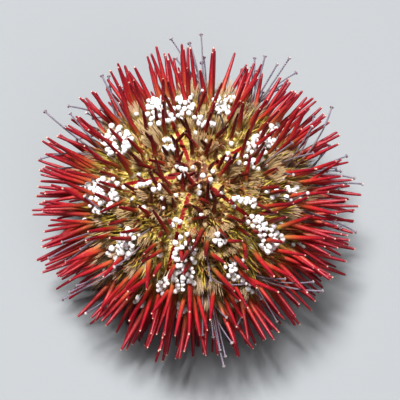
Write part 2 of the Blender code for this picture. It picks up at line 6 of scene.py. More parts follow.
import bpy
import numpy as np
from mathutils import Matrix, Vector


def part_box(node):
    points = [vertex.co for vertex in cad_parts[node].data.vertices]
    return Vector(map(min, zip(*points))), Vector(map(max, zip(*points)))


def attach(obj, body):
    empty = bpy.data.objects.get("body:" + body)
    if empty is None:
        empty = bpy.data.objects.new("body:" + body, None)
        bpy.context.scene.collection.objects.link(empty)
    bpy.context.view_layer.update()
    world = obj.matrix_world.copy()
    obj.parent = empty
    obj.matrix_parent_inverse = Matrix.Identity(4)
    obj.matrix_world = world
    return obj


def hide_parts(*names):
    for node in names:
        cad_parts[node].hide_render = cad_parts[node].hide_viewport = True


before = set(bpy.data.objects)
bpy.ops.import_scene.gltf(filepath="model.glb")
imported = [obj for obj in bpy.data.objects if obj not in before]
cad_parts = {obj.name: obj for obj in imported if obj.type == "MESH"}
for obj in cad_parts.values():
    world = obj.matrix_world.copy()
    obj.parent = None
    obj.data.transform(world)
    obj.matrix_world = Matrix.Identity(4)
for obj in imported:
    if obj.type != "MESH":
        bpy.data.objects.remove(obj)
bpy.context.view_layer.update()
MM = 0.001

# The test, as in the part's own source: a superellipse turned about its axis
TEST_RADIUS = 29 * MM
TEST_RISE = 20 * MM
TEST_DROP = 13.5 * MM
STANCE = 7.5 * MM
WIDEST_Z = STANCE + TEST_DROP
UPPER_POWER = 2.05
LOWER_POWER = 2.5
APICAL_RADIUS = 5 * MM
PERIPROCT_RADIUS = 2 * MM
PERISTOME_RADIUS = 10 * MM
LANTERN_RADIUS = 3.6 * MM
RAYS = 5
RAY_TURN = 2 * math.pi / RAYS
SECTOR_TURN = {"ambulacrum": math.radians(28.8), "interambulacrum": math.radians(43.2)}
FIRST_AMBULACRUM = math.radians(1.0)
SECTORS = [(kind, ray) for kind in SECTOR_TURN for ray in range(RAYS)]

# Where the test's axis stands in the frame
PERIPROCT_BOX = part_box("periproct")
AXIS = Vector([(a + b) / 2 for a, b in zip(*PERIPROCT_BOX)])
AXIS.z = 0

# Primary spines: lengths and widths, how they spread, and how those under the test stand on the floor.
# A share is a part of the way from the edge of the apical plates, 0, to the edge of the mouth, 1
LONGEST_SPINE = 19.6 * MM
APEX_SPINE = 8.4 * MM
MOUTH_SPINE = 9.5 * MM
LENGTH_RANGE = (0.84, 1.07)
SPINE_BASE = 0.7 * MM
SPINE_BASE_SMALL = 0.38 * MM
LONGEST_AT = 0.6
SPREAD = 0.19
APEX_LOOSENESS = 1.6
LOOSE_SHARE = 0.3
FLOOR_CLEAR = 0.8 * MM
STANDING_REACH = 19.5 * MM
STANDING_LEAN = 0.35
STANDING_DROP = 0.72

# Their rows, open above and crowded below, and their columns as parts of a sector's width
OPEN_PITCH = 4.0 * MM
CROWDED_PITCH = 2.9 * MM
CROWDED_SHARE = 0.42
OUTER_COLUMN = {"ambulacrum": 0.26, "interambulacrum": 0.34}
INNER_COLUMN = 0.13
INNER_COLUMN_WIDTH = 12 * MM
APICAL_SPINES = 9
EXTRA_PITCH = 3.3 * MM
EXTRA_SHARE = 0.46

# Profiles: heights along a boss and along the shaft over it, and widths in base radii; heights along a
# head and its widths in head radii; widths in mm of a stalk, of hairs in fans and down, and of a gill
BOSS_RISE = np.array((-0.15, 0.22, 0.44, 0.59, 0.78, 1.0))
BOSS_WIDTH = np.array((1.55, 1.5, 1.3, 0.95, 1.22, 1.05))
SHAFT_RISE = np.array((0.08, 0.25, 0.44, 0.63, 0.79, 0.92, 0.98, 1.0))
SHAFT_WIDTH = np.array((1.0, 0.97, 0.91, 0.81, 0.69, 0.56, 0.47, 0.28))
SMALL_SPINE_WIDTH = np.array((1.5, 1.25, 1.0, 0.8, 0.5, 0.25))
HEAD_RISE = np.array((-0.95, -0.75, -0.4, 0.0, 0.42, 0.78, 1.02))
HEAD_WIDTH = np.array((0.28, 0.62, 0.92, 1.0, 0.95, 0.72, 0.36))
STALK_WIDTH = np.array((0.2, 0.14, 0.12, 0.12, 0.18))
FAN_RISE = np.array((-0.04, 0.3, 0.65, 0.9, 1.0))
FAN_WIDTH = np.array((0.14, 0.14, 0.12, 0.09, 0.03))
DOWN_RISE = np.array((-0.08, 0.35, 0.7, 1.0))
DOWN_WIDTH = np.array((0.15, 0.13, 0.11, 0.05))
GRANULE_RISE = np.array((-0.1, 0.45, 0.95))
GRANULE_WIDTH = np.array((1.0, 0.95, 0.45))
GILL_WIDTH = np.array((0.24, 0.22, 0.2, 0.18, 0.12))
SUCKER_RISE = np.array((-0.12, 0.10, 0.26, 0.40))
SUCKER_WIDTH = np.array((0.42, 1.0, 1.0, 0.72))

# The unwrap that every piece's OFBake map follows: azimuth across, the way from apex to mouth down
BAKE_PATCH = 0.003

# One seed for everything, numbers of things, and how often a free place is looked for
SEED = 31
MOST_CLAIMS = 4000
TRIES = 12
EXTRA_TRIES = 5
SMALL_SPINE_TRIES = 3
HEAD_TRIES = 14
LONG_FOOT_TRIES = 80
FLOOR_FOOT_TRIES = 40
SHORT_FEET = 100
FLOOR_FEET = 6
COMPANIONS = 3
GILLS = 26
HAIRS = 22
FAN_HAIRS = 120

# Half the width of the room that each kind of tube foot takes
LONG_FOOT_ROOM = 0.3 * MM
COMPANION_ROOM = 0.22 * MM
SHORT_FOOT_ROOM = 0.25 * MM
FLOOR_FOOT_ROOM = 0.35 * MM

# Distances between the roots of small spines, tufts and granules, and the rows and columns of fans
SMALL_SPINE_PITCH = 1.35 * MM
LOWER_SMALL_SPINE_PITCH = 2 * MM
DOWN_PITCH = 2.1 * MM
APEX_DOWN_PITCH = 1.7 * MM
GRANULE_PITCH = 0.85 * MM
FAN_SHARES = (0.07, 0.17, 0.27, 0.37, 0.47, 0.57, 0.65)
FAN_PLACES = ((-0.42, 0.0, 0.42), (-0.62, -0.2, 0.2, 0.62))

# Where the longest tube feet of each ambulacrum end in the photo, as azimuth in degrees and distance from
# the axis in mm
FOOT_ENDS = (
    ((4, 49), (7, 47), (19, 48), (24, 44), (-12, 48), (34, 49)),
    ((88, 53), (98, 52), (92, 48), (69, 51), (65, 50), (58, 54), (52, 49)),
    ((122, 50), (127, 46), (149, 52), (143, 47), (139, 43)),
    ((229, 47), (205, 46), (220, 49)),
    ((279, 52), (283, 46), (277, 43), (302, 44), (320, 47)),
)

# Patches of white heads as the photo shows them, in mm: right of the apex, up from it in the picture,
# then the patch's length along the way from the apex and its width
HEAD_PATCHES = (
    ((-9.8, 19.3, 8, 6.5), (-2.4, 21.5, 6, 5), (8.5, 22, 6, 5), (1.5, 16, 2.5, 2.5), (5.4, 14.6, 3, 1.5)),
    ((-21.9, 10.5, 8, 7), (-26.5, -4.8, 8, 8), (-13.7, -1.9, 3, 3), (-10.3, -3.5, 2.5, 2), (-6.9, 9, 4, 3)),
    ((20.1, 10.2, 9, 6), (24.5, 13.8, 5, 3), (11.3, 5.3, 3, 3), (16.7, 3.8, 4.5, 2), (28.9, -4.5, 5, 3)),
    ((22.5, -3.5, 3, 2), (15.7, -7.4, 3.5, 2.5), (11.8, -6.5, 2.5, 2), (20, -15.3, 11, 4), (21, -19.7, 5, 3)),
    ((-21, -20.7, 9, 5), (-18.6, -16.3, 3.5, 2), (-3.4, -20.7, 8, 5), (-3.9, -28.5, 7, 5), (-8.8, -30, 4, 3)),
    ((10.8, -27, 5, 3), (15, -30.5, 4, 2), (-6, -12.8, 2, 2), (7.4, -17.3, 3, 2)),
    ((-3.4, 0.4, 1, 1), (4.4, -0.9, 1, 1)),
)
PATCH_PITCH = 1.3
PATCH_EDGE = 1.5
HEAD_HEIGHT = 5 * MM
VIEW_RISE = math.radians(69)

# Rows of heads at the widest line, and numbers of single heads between two shares
BELT_PITCH = 1.25 * MM
BELT_SHARES = (0.53, 0.60)
BELT_COLUMNS = 2
BELT_GAPS = 0.18
SINGLE_HEADS = ((18, -0.06, 0.12), (22, 0.12, 0.25), (56, 0.25, 0.58), (36, 0.60, 0.92))

# Colours along the strands, as (share of the length, colour), or by their own numbers for the granules
LONG_SPINE_COLOURS = (
    (0.0, (0.62, 0.50, 0.28)),
    (0.16, (0.78, 0.70, 0.52)),
    (0.27, (0.46, 0.36, 0.09)),
    (0.41, (0.50, 0.28, 0.09)),
    (0.51, (0.50, 0.11, 0.038)),
    (0.61, (0.45, 0.026, 0.024)),
    (0.74, (0.36, 0.010, 0.025)),
    (0.88, (0.25, 0.006, 0.023)),
    (0.955, (0.32, 0.020, 0.030)),
    (0.985, (0.80, 0.52, 0.42)),
)
APEX_SPINE_COLOURS = (
    (0.0, (0.62, 0.50, 0.28)),
    (0.18, (0.70, 0.56, 0.30)),
    (0.30, (0.24, 0.14, 0.03)),
    (0.42, (0.22, 0.03, 0.016)),
    (0.62, (0.11, 0.004, 0.006)),
    (0.85, (0.025, 0.001, 0.002)),
    (1.0, (0.015, 0.001, 0.001)),
)
OLIVE_SPINE_COLOURS = (
    (0.0, (0.84, 0.70, 0.34)),
    (0.35, (0.58, 0.45, 0.09)),
    (0.7, (0.22, 0.15, 0.02)),
    (1.0, (0.06, 0.04, 0.006)),
)
BROWN_SPINE_COLOURS = ((0.0, (0.66, 0.44, 0.20)), (0.4, (0.38, 0.13, 0.045)), (1.0, (0.22, 0.02, 0.02)))
FOOT_COLOURS = (
    (0.0, (0.24, 0.12, 0.07)),
    (0.25, (0.17, 0.12, 0.13)),
    (0.70, (0.13, 0.14, 0.22)),
    (0.82, (0.26, 0.22, 0.31)),
    (0.93, (0.80, 0.66, 0.68)),
    (1.0, (0.86, 0.76, 0.78)),
)
HEAD_COLOURS = (
    (0.0, (0.50, 0.42, 0.32)),
    (0.25, (0.78, 0.76, 0.72)),
    (0.9, (0.86, 0.87, 0.89)),
    (1.0, (0.66, 0.58, 0.56)),
)
STALK_COLOURS = ((0.0, (0.45, 0.33, 0.16)), (0.6, (0.70, 0.60, 0.46)), (1.0, (0.85, 0.80, 0.72)))
# The fans' first stop is painted shade: each filament darkens to near black at its root, deep among the
# spines; the later stops are the fans' own tan.
FAN_COLOURS_AND_ROOT_SHADE = ((0.0, (0.12, 0.065, 0.016)), (0.45, (0.42, 0.28, 0.11)))
FAN_TIPS = {"tan_fans_inner": (0.75, 0.58, 0.30), "tan_fans_outer": (0.56, 0.42, 0.30)}
# The down's first stops are painted shade: both kinds of down darken to their roots, deep among the spines;
# the later stops are their own tan and brown.
TAN_DOWN_COLOURS_AND_ROOT_SHADE = ((0.0, (0.18, 0.11, 0.03)), (0.5, (0.44, 0.30, 0.14)), (1.0, (0.71, 0.56, 0.33)))
BROWN_DOWN_COLOURS_AND_ROOT_SHADE = ((0.0, (0.12, 0.045, 0.02)), (0.5, (0.34, 0.14, 0.055)), (1.0, (0.56, 0.29, 0.16)))
GRANULE_COLOURS = {
    "ambulacral": ((0.0, (0.16, 0.055, 0.022)), (0.45, (0.50, 0.25, 0.09)), (0.85, (0.80, 0.58, 0.30))),
    "interambulacral": ((0.0, (0.14, 0.11, 0.018)), (0.45, (0.50, 0.39, 0.10)), (0.85, (0.88, 0.74, 0.42))),
}
GILL_COLOURS = ((0.0, (0.40, 0.20, 0.12)), (1.0, (0.66, 0.48, 0.36)))
TOOTH_COLOURS = ((0.3, (0.42, 0.26, 0.14)), (0.5, (0.74, 0.68, 0.54)), (1.0, (0.88, 0.86, 0.80)))


def radial(azimuth, out, up):
    """A vector with these outward and upward parts at an azimuth."""
    return np.array((out * math.cos(azimuth), out * math.sin(azimuth), up))


def unit(vector):
    return vector / np.linalg.norm(vector)


def unit_rows(rows):
    """Each of many vectors at length 1."""
    return rows / np.linalg.norm(rows, axis=-1, keepdims=True)


def random_vector(draw, spread):
    return np.array([draw.gauss(0, spread) for _ in range(3)])


def clamp(value):
    """The value, kept between 0 and 1."""
    return min(1, max(0, value))


def test_point(theta):
    """Radius and height of the test at polar angle theta, 0 at the apex and pi at the mouth."""
    power, height = (UPPER_POWER, TEST_RISE) if theta <= math.pi / 2 else (LOWER_POWER, -TEST_DROP)
    radius = TEST_RADIUS * abs(math.sin(theta)) ** (2 / power)
    return radius, WIDEST_Z + height * abs(math.cos(theta)) ** (2 / power)


def test_normal(theta):
    """Outward normal of the test at theta, as its radial and vertical parts."""
    radius, z = test_point(theta)
    power, height = (UPPER_POWER, TEST_RISE) if z >= WIDEST_Z else (LOWER_POWER, TEST_DROP)
    out = (radius / TEST_RADIUS) ** (power - 1) / TEST_RADIUS
    up = math.copysign((abs(z - WIDEST_Z) / height) ** (power - 1) / height, z - WIDEST_Z)
    size = math.hypot(out, up)
    return out / size, up / size


def measure_meridian():
    """Polar angles, radii there, and lengths of the way down from the apex."""
    angles = np.linspace(0.0, math.pi, 721)
    points = np.array([test_point(a) for a in angles])
    steps = np.hypot(*np.diff(points, axis=0).T)
    return angles, points[:, 0], np.concatenate([[0.0], np.cumsum(steps)])


ANGLES, RADII, LENGTHS = measure_meridian()
HALF = len(ANGLES) // 2
APICAL_LENGTH = float(np.interp(APICAL_RADIUS, RADII[:HALF], LENGTHS[:HALF]))
MOUTH_LENGTH = float(np.interp(-PERISTOME_RADIUS, -RADII[HALF:], LENGTHS[HALF:]))
FULL_LENGTH = float(LENGTHS[-1])


def theta_at(length):
    return float(np.interp(length, LENGTHS, ANGLES))


MOUTH_Z = test_point(theta_at(MOUTH_LENGTH))[1]


def length_at(share):
    return APICAL_LENGTH + share * (MOUTH_LENGTH - APICAL_LENGTH)


def share_of(length):
    return (length - APICAL_LENGTH) / (MOUTH_LENGTH - APICAL_LENGTH)


def sector_centre(kind, ray):
    offset = 0 if kind == "ambulacrum" else RAY_TURN / 2
    return FIRST_AMBULACRUM + offset + ray * RAY_TURN


def sector_width(kind, length):
    return SECTOR_TURN[kind] * test_point(theta_at(length))[0]


class Spot:
    """A place on the test: its point, directions, azimuth and length down the meridian."""

    def __init__(self, azimuth, length):
        theta = theta_at(length)
        radius, z = test_point(theta)
        out, up = test_normal(theta)
        self.azimuth, self.length, self.radius = azimuth, length, radius
        self.share = share_of(length)
        self.point = radial(azimuth, radius, z)
        self.normal = radial(azimuth, out, up)
        self.down = radial(azimuth, up, -out)
        self.side = np.array((-math.sin(azimuth), math.cos(azimuth), 0.0))
        self.bake = (azimuth / (2 * math.pi) % 1, 1 - length / FULL_LENGTH)

    def tilted(self, draw, spread, down=0.0):
        """A direction near the normal, or near one that leans down the meridian."""
        lean_down, lean_side = draw.gauss(down, spread), draw.gauss(0.0, spread)
        return unit(self.normal + self.down * lean_down + self.side * lean_side)


def sector_spot(kind, ray, length, sideways):
    """The spot at this distance from the middle of a sector, sideways."""
    radius = max(test_point(theta_at(length))[0], 0.3 * MM)
    return Spot(sector_centre(kind, ray) + sideways / radius, length)


def scatter(draw, pitch, first, last):
    """Spots spread evenly over the test between two lengths of the meridian, in uneven staggered rings."""
    loose = 0.42
    spots = []
    for ring in range(int((last - first) / pitch) + 1):
        length = first + ring * pitch
        radius = test_point(theta_at(length))[0]
        number = max(1, round(2 * math.pi * radius / pitch))
        for place in range(number):
            azimuth = 2 * math.pi * (place + 0.5 * (ring % 2) + draw.uniform(-loose, loose)) / number
            spots.append(Spot(azimuth, min(last, max(first, length + draw.uniform(-loose, loose) * pitch))))
    return spots


def turn_from(azimuth, centre):
    """Angle between an azimuth and the nearest of the five that start at centre."""
    turn = (azimuth - centre) % RAY_TURN
    return np.minimum(turn, RAY_TURN - turn)


def ambulacral(spot):
    """True where a spot lies in an ambulacrum."""
    return turn_from(spot.azimuth, FIRST_AMBULACRUM) < SECTOR_TURN["ambulacrum"] / 2


def beside_midlines(spots, distance, share):
    """Those spots that keep off the middles of the interambulacra, or lie below this share."""
    middle = sector_centre("interambulacrum", 0)
    return [s for s in spots if turn_from(s.azimuth, middle) * s.radius > distance or s.share > share]


def stretch_gaps(start, end, starts, ends):
    """Shortest distances from one straight stretch to each of several others."""
    along, others, offset = end - start, ends - starts, start - starts
    a = along @ along
    e = np.einsum("ij,ij->i", others, others)
    f = np.einsum("ij,ij->i", others, offset)
    c = offset @ along
    b = others @ along
    s = np.clip((b * f - c * e) / np.maximum(a * e - b * b, 1e-18), 0, 1)
    t = np.clip((b * s + f) / e, 0, 1)
    s = np.clip((b * t - c) / a, 0, 1)
    near = start + s[:, None] * along
    return np.linalg.norm(near - (starts + t[:, None] * others), axis=1)


class Room:
    """Stretches already taken, each with its radius, so that nothing new cuts through them."""

    def __init__(self, most):
        self.starts, self.ends, self.radii = np.zeros((most, 3)), np.ones((most, 3)), np.zeros(most)
        self.count = 0

    def free(self, start, end, radius):
        n = self.count
        if not n:
            return True
        gaps = stretch_gaps(start, end, self.starts[:n], self.ends[:n])
        return bool(np.all(gaps > self.radii[:n] + radius))

    def take(self, start, end, radius):
        self.starts[self.count], self.ends[self.count], self.radii[self.count] = start, end, radius
        self.count += 1

    def claim(self, stretches):
        """Takes these stretches if all of them are free, and says whether they were."""
        if not all(self.free(*stretch) for stretch in stretches):
            return False
        for stretch in stretches:
            self.take(*stretch)
        return True

    def claim_path(self, points, corners, radius):
        """Claims a curved path as the straight stretches between some of its points."""
        stops = points[list(corners)]
        return self.claim([(a, b, radius) for a, b in zip(stops, stops[1:])])


def spine_length(share):
    """Length before it is varied: short over the apex, longest at the widest line."""
    if share < LONGEST_AT:
        growth = math.sin(max(share, 0) / LONGEST_AT * math.pi / 2) ** 1.6
        return APEX_SPINE + (LONGEST_SPINE - APEX_SPINE) * growth
    fall = math.cos((min(share, 1) - LONGEST_AT) / (1 - LONGEST_AT) * math.pi / 2)
    return MOUTH_SPINE + (LONGEST_SPINE - MOUTH_SPINE) * fall


def spine_radius(share):
    size = min(1, 1.15 * spine_length(share) / LONGEST_SPINE)
    return SPINE_BASE_SMALL + (SPINE_BASE - SPINE_BASE_SMALL) * size


def lean_clear_of_floor(point, direction, length):
    """Lifts a direction just enough to keep the tip above the floor."""
    lowest = (FLOOR_CLEAR - point[2]) / length
    if direction[2] >= lowest:
        return direction
    level = unit(np.array((direction[0], direction[1], 0.0)))
    return level * math.sqrt(max(0.0, 1 - lowest * lowest)) + np.array((0, 0, lowest))


def stand_on_floor(point, direction):
    """Direction and length of a spine under the test, which leans out and ends on the floor."""
    level = unit(np.array((point[0], point[1], 0.0)))
    leaning = unit(direction + level * STANDING_LEAN)
    leaning[2] = min(leaning[2], -STANDING_DROP)
    leaning = unit(leaning)
    return leaning, point[2] / -leaning[2] - 0.1 * MM


def primary_spots(draw):
    """Places of the primary spines: two or more columns in each sector, and some on the apical plates."""
    loose = 0.3
    spots = []
    for kind, ray in SECTORS:
        length = APICAL_LENGTH + 1.4 * MM
        while length < MOUTH_LENGTH - 1.2 * MM:
            pitch = OPEN_PITCH if share_of(length) < CROWDED_SHARE else CROWDED_PITCH
            width = sector_width(kind, length)
            places = [OUTER_COLUMN[kind] * width]
            if kind == "interambulacrum" and width > INNER_COLUMN_WIDTH:
                places.append(INNER_COLUMN * width)
            for column, place in enumerate(side * place for place in places for side in (-1, 1)):
                staggered = length + 0.5 * (column % 2) * pitch + draw.uniform(-loose, loose) * MM
                spots.append(sector_spot(kind, ray, staggered, place + draw.uniform(-loose, loose) * MM))
            length += pitch
    for place in range(APICAL_SPINES):
        spots.append(Spot(place * 0.7 + draw.uniform(-0.2, 0.2), draw.uniform(2.6, 4.8) * MM))
    return spots


def grow_spines(spots, draw, room, thickness=1.0, reach=1.0, tries=TRIES):
    """Spines at these spots, each as (spot, direction, length, base radius)."""
    spines = []
    for spot in spots:
        under = spot.share > LONGEST_AT and spot.radius < STANDING_REACH
        loose = SPREAD * (1 + APEX_LOOSENESS * max(0, 1 - max(spot.share, 0) / LOOSE_SHARE))
        for _ in range(tries):
            radius = spine_radius(spot.share) * thickness * draw.uniform(0.88, 1.1)
            direction = spot.tilted(draw, loose, down=-0.05 if spot.share < LONGEST_AT else 0)
            length = spine_length(spot.share) * reach * draw.uniform(*LENGTH_RANGE)
            if under:
                direction, length = stand_on_floor(spot.point, direction)
            else:
                direction = lean_clear_of_floor(spot.point, direction, length)
            middle, tip = spot.point + direction * length / 2, spot.point + direction * length
            if room.claim([(spot.point, middle, radius), (middle, tip, 0.75 * radius)]):
                spines.append((spot, direction, length, radius))
                break
    return spines


def foot_spot(ray, share, side_sign):
    """The root of a tube foot, near one edge of an ambulacrum."""
    length = length_at(share)
    edge = sector_width("ambulacrum", length) / 2 - 1 * MM
    return sector_spot("ambulacrum", ray, length, side_sign * edge)


def bowed(point, start, end, steps=14):
    """Points of a smooth bow from point, setting off along start, to end."""
    bend = point + start * np.linalg.norm(end - point) * 0.5
    t = np.linspace(0, 1, steps)[:, None]
    return point * (1 - t) ** 2 + 2 * bend * t * (1 - t) + end * t**2


def grow_long_feet(draw, room):
    """The long tube feet that the photo shows past the spines, as (spot, points)."""
    feet = []
    for ray, ends in enumerate(FOOT_ENDS):
        for degrees, reach in ends:
            azimuth = math.radians(degrees)
            side_sign = math.copysign(1, math.sin(azimuth - sector_centre("ambulacrum", ray)))
            for _ in range(LONG_FOOT_TRIES):
                spot = foot_spot(ray, draw.uniform(0.34, 0.66), side_sign)
                end = radial(azimuth, reach * MM, WIDEST_Z + draw.uniform(-4, 9) * MM)
                straight = unit(end - spot.point)
                points = bowed(spot.point, unit(spot.normal + straight), end)
                steep = straight @ spot.normal > 0.55
                if steep and room.claim_path(points, (0, 4, 9, 13), LONG_FOOT_ROOM):
                    feet.append((spot, points))
                    feet += grow_companions(draw, room, spot, end)
                    break
    return feet


def grow_companions(draw, room, spot, end):
    """Shorter feet that lie along a long one and make a bundle with it."""
    feet = []
    for _ in range(COMPANIONS):
        length = spot.length + draw.uniform(-1.6, 1.6) * MM
        root = Spot(spot.azimuth + draw.uniform(-1.4, 1.4) * MM / spot.radius, length)
        aside = random_vector(draw, 1.3) * MM
        tip = root.point + (end - spot.point) * draw.uniform(0.5, 0.85) + aside
        if tip[2] < 2 * MM:
            continue
        points = bowed(root.point, unit(root.normal + unit(tip - root.point)), tip)
        if room.claim_path(points, (1, 6, 13), COMPANION_ROOM):
            feet.append((root, points))
    return feet


def grow_short_feet(draw, room):
    """Tube feet that lie among the spines, most of them a little shorter than these."""
    feet = []
    for _ in range(SHORT_FEET):
        ray, side_sign = draw.randrange(RAYS), draw.choice((-1, 1))
        share = draw.uniform(0.14, 0.72)
        spot = foot_spot(ray, share, side_sign)
        length = spine_length(share) * draw.uniform(0.5, 1.08)
        start = spot.tilted(draw, 0.25)
        aim = unit(start + spot.down * draw.gauss(0.1, 0.3) + spot.side * draw.gauss(0, 0.3))
        end = spot.point + aim * length
        if end[2] < 2 * MM:
            continue
        points = bowed(spot.point, start, end)
        if room.claim_path(points, (0, 6, 13), SHORT_FOOT_ROOM):
            feet.append((spot, points))
    return feet


def grow_floor_feet(draw, room):
    """Tube feet under the test that hold on to the floor."""
    feet = []
    for ray in range(RAYS):
        for foot in range(FLOOR_FEET):
            for _ in range(FLOOR_FOOT_TRIES):
                spot = foot_spot(ray, draw.uniform(0.76, 0.93), 2 * (foot % 2) - 1)
                azimuth = spot.azimuth + draw.gauss(0, 0.08)
                end = radial(azimuth, spot.radius + draw.uniform(0.5, 4) * MM, 0.8 * MM)
                ankle = end + np.array((0, 0, 2 * MM))
                bow = bowed(spot.point, spot.normal, ankle, 11)
                points = np.concatenate([bow, [end * 0.5 + ankle * 0.5], [end]])
                points = np.insert(points, 1, spot.point + spot.normal * 0.2 * MM, axis=0)
                if room.claim([(points[3], points[-1], FLOOR_FOOT_ROOM)]):
                    feet.append((spot, points))
                    break
    return feet


def crosswise(directions):
    """A unit vector across each direction."""
    helper = np.where(np.abs(directions[:, 2:3]) < 0.9, [[0.0, 0.0, 1.0]], [[1.0, 0.0, 0.0]])
    return unit_rows(np.cross(helper, directions))


def add_object(name, data):
    """A new object in the scene."""
    new = bpy.data.objects.new(name, data)
    bpy.context.scene.collection.objects.link(new)
    return new


def add_piece(name, points, faces, uv):
    """A smooth piece that rides on the root, from points about the test's axis with their OFBake places."""
    mesh = bpy.data.meshes.new(name)
    mesh.from_pydata((points.reshape(-1, 3) + np.array(AXIS)).tolist(), [], faces)
    mesh.polygons.foreach_set("use_smooth", np.ones(len(mesh.polygons), dtype=bool))
    corners = np.empty(len(mesh.loops), dtype=np.int64)
    mesh.loops.foreach_get("vertex_index", corners)
    layer = mesh.uv_layers.new(name="OFBake")
    layer.data.foreach_set("uv", uv.reshape(-1, 2)[corners].astype(np.float32).ravel())
    piece = add_object(name, mesh)
    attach(piece, "root")
    return piece


def lathe(name, profile, steps, relief=None):
    """A surface of revolution about the test's axis from (radius, height) points, with a relief on it."""
    profile = np.asarray(profile)
    rows = len(profile)
    azimuths = np.linspace(0, 2 * math.pi, steps + 1)[:, None]
    grid = np.empty((steps + 1, rows, 3))
    grid[:, :, 0] = np.cos(azimuths) * profile[:, 0]
    grid[:, :, 1] = np.sin(azimuths) * profile[:, 0]
    grid[:, :, 2] = profile[:, 1]
    if relief:
        grid[:, :, 2] += relief(azimuths, profile[:, 0])
    first = (np.arange(steps)[:, None] * rows + np.arange(rows - 1)).ravel()
    faces = np.stack([first, first + 1, first + 1 + rows, first + rows], axis=-1)
    uv = np.empty((steps + 1, rows, 2))
    uv[:, :, 0] = np.linspace(0, 1, steps + 1)[:, None]
    uv[:, :, 1] = np.linspace(1, 0, rows)
    return add_piece(name, grid, faces.tolist(), uv)


class Strands:
    """Many closed strands that make one piece, each swept along its own path.

    The piece's coat attribute holds, for every point, the share of the strand's length, a number of the
    strand's own, and a number for the zone of the test it grows from.
    """

    def __init__(self, name, sides, lobes=1.0):
        self.name, self.sides, self.lobes = name, sides, lobes
        self.strands = []

    def add(self, path, radii, bake, seed=0.5, zone=0.5):
        self.strands.append((path, radii, bake, seed, zone))

    def points(self, paths, radii):
        """Points of every strand's rings, and a last one that closes its tip."""
        tangents = np.gradient(paths, axis=1)
        tangents /= np.maximum(np.linalg.norm(tangents, axis=2, keepdims=True), 1e-12)
        first = crosswise(unit_rows(paths[:, -1] - paths[:, 0]))
        across = first[:, None, :] - np.einsum("ijk,ik->ij", tangents, first)[:, :, None] * tangents
        across = unit_rows(across)
        third = np.cross(tangents, across)
        angles = np.arange(self.sides) * 2 * math.pi / self.sides
        scale = radii[:, :, None] * self.lobes
        rings = (
            paths[:, :, None, :]
            + across[:, :, None, :] * (scale * np.cos(angles))[..., None]
            + third[:, :, None, :] * (scale * np.sin(angles))[..., None]
        )
        tips = paths[:, -1] + tangents[:, -1] * radii[:, -1:] * 0.6
        return np.concatenate([rings.reshape(len(paths), -1, 3), tips[:, None, :]], axis=1)

    def faces(self, count, rings, per_strand):
        """Quads between the rings, and a fan of triangles at each tip."""
        here = np.arange(self.sides)
        after = (here + 1) % self.sides
        ring = np.arange(rings - 1)[:, None] * self.sides
        above = ring + self.sides
        quads = np.stack([ring + here, ring + after, above + after, above + here], axis=-1).reshape(-1, 4)
        last = (rings - 1) * self.sides
        fans = np.stack([last + here, last + after, np.full(self.sides, per_strand - 1)], axis=-1)
        offsets = (np.arange(count) * per_strand)[:, None, None]
        return (quads + offsets).reshape(-1, 4).tolist() + (fans + offsets).reshape(-1, 3).tolist()

    def piece(self):
        """All the strands as one piece of the coat."""
        paths, radii, bakes, seeds, zones = (np.array(part) for part in zip(*self.strands))
        points = self.points(paths, radii)
        count, per_strand = points.shape[:2]
        rings = radii.shape[1]
        shares = np.concatenate([np.repeat(np.linspace(0, 1, rings), self.sides), [1.0]])
        turns = np.concatenate([np.tile(np.arange(self.sides) / self.sides, rings), [0.5]])
        roots = np.clip(bakes, BAKE_PATCH / 2, 1 - BAKE_PATCH / 2)
        uv = np.empty((count, per_strand, 2))
        uv[:, :, 0] = roots[:, :1] + (np.abs(turns * 2 - 1) - 0.5) * BAKE_PATCH
        uv[:, :, 1] = roots[:, 1:] + (shares - 0.5) * BAKE_PATCH
        piece = add_piece(self.name, points, self.faces(count, rings, per_strand), uv)
        coat = np.ones((count, per_strand, 4))
        coat[:, :, 0] = shares
        coat[:, :, 1] = seeds[:, None]
        coat[:, :, 2] = zones[:, None]
        layer = piece.data.color_attributes.new("coat", "FLOAT_COLOR", "POINT")
        layer.data.foreach_set("color", coat.ravel())
        return piece


def lobed(sides, depth, number):
    """Factors that give a ring this number of lobes."""
    return 1 + depth * np.cos(number * np.arange(sides) * 2 * math.pi / sides)


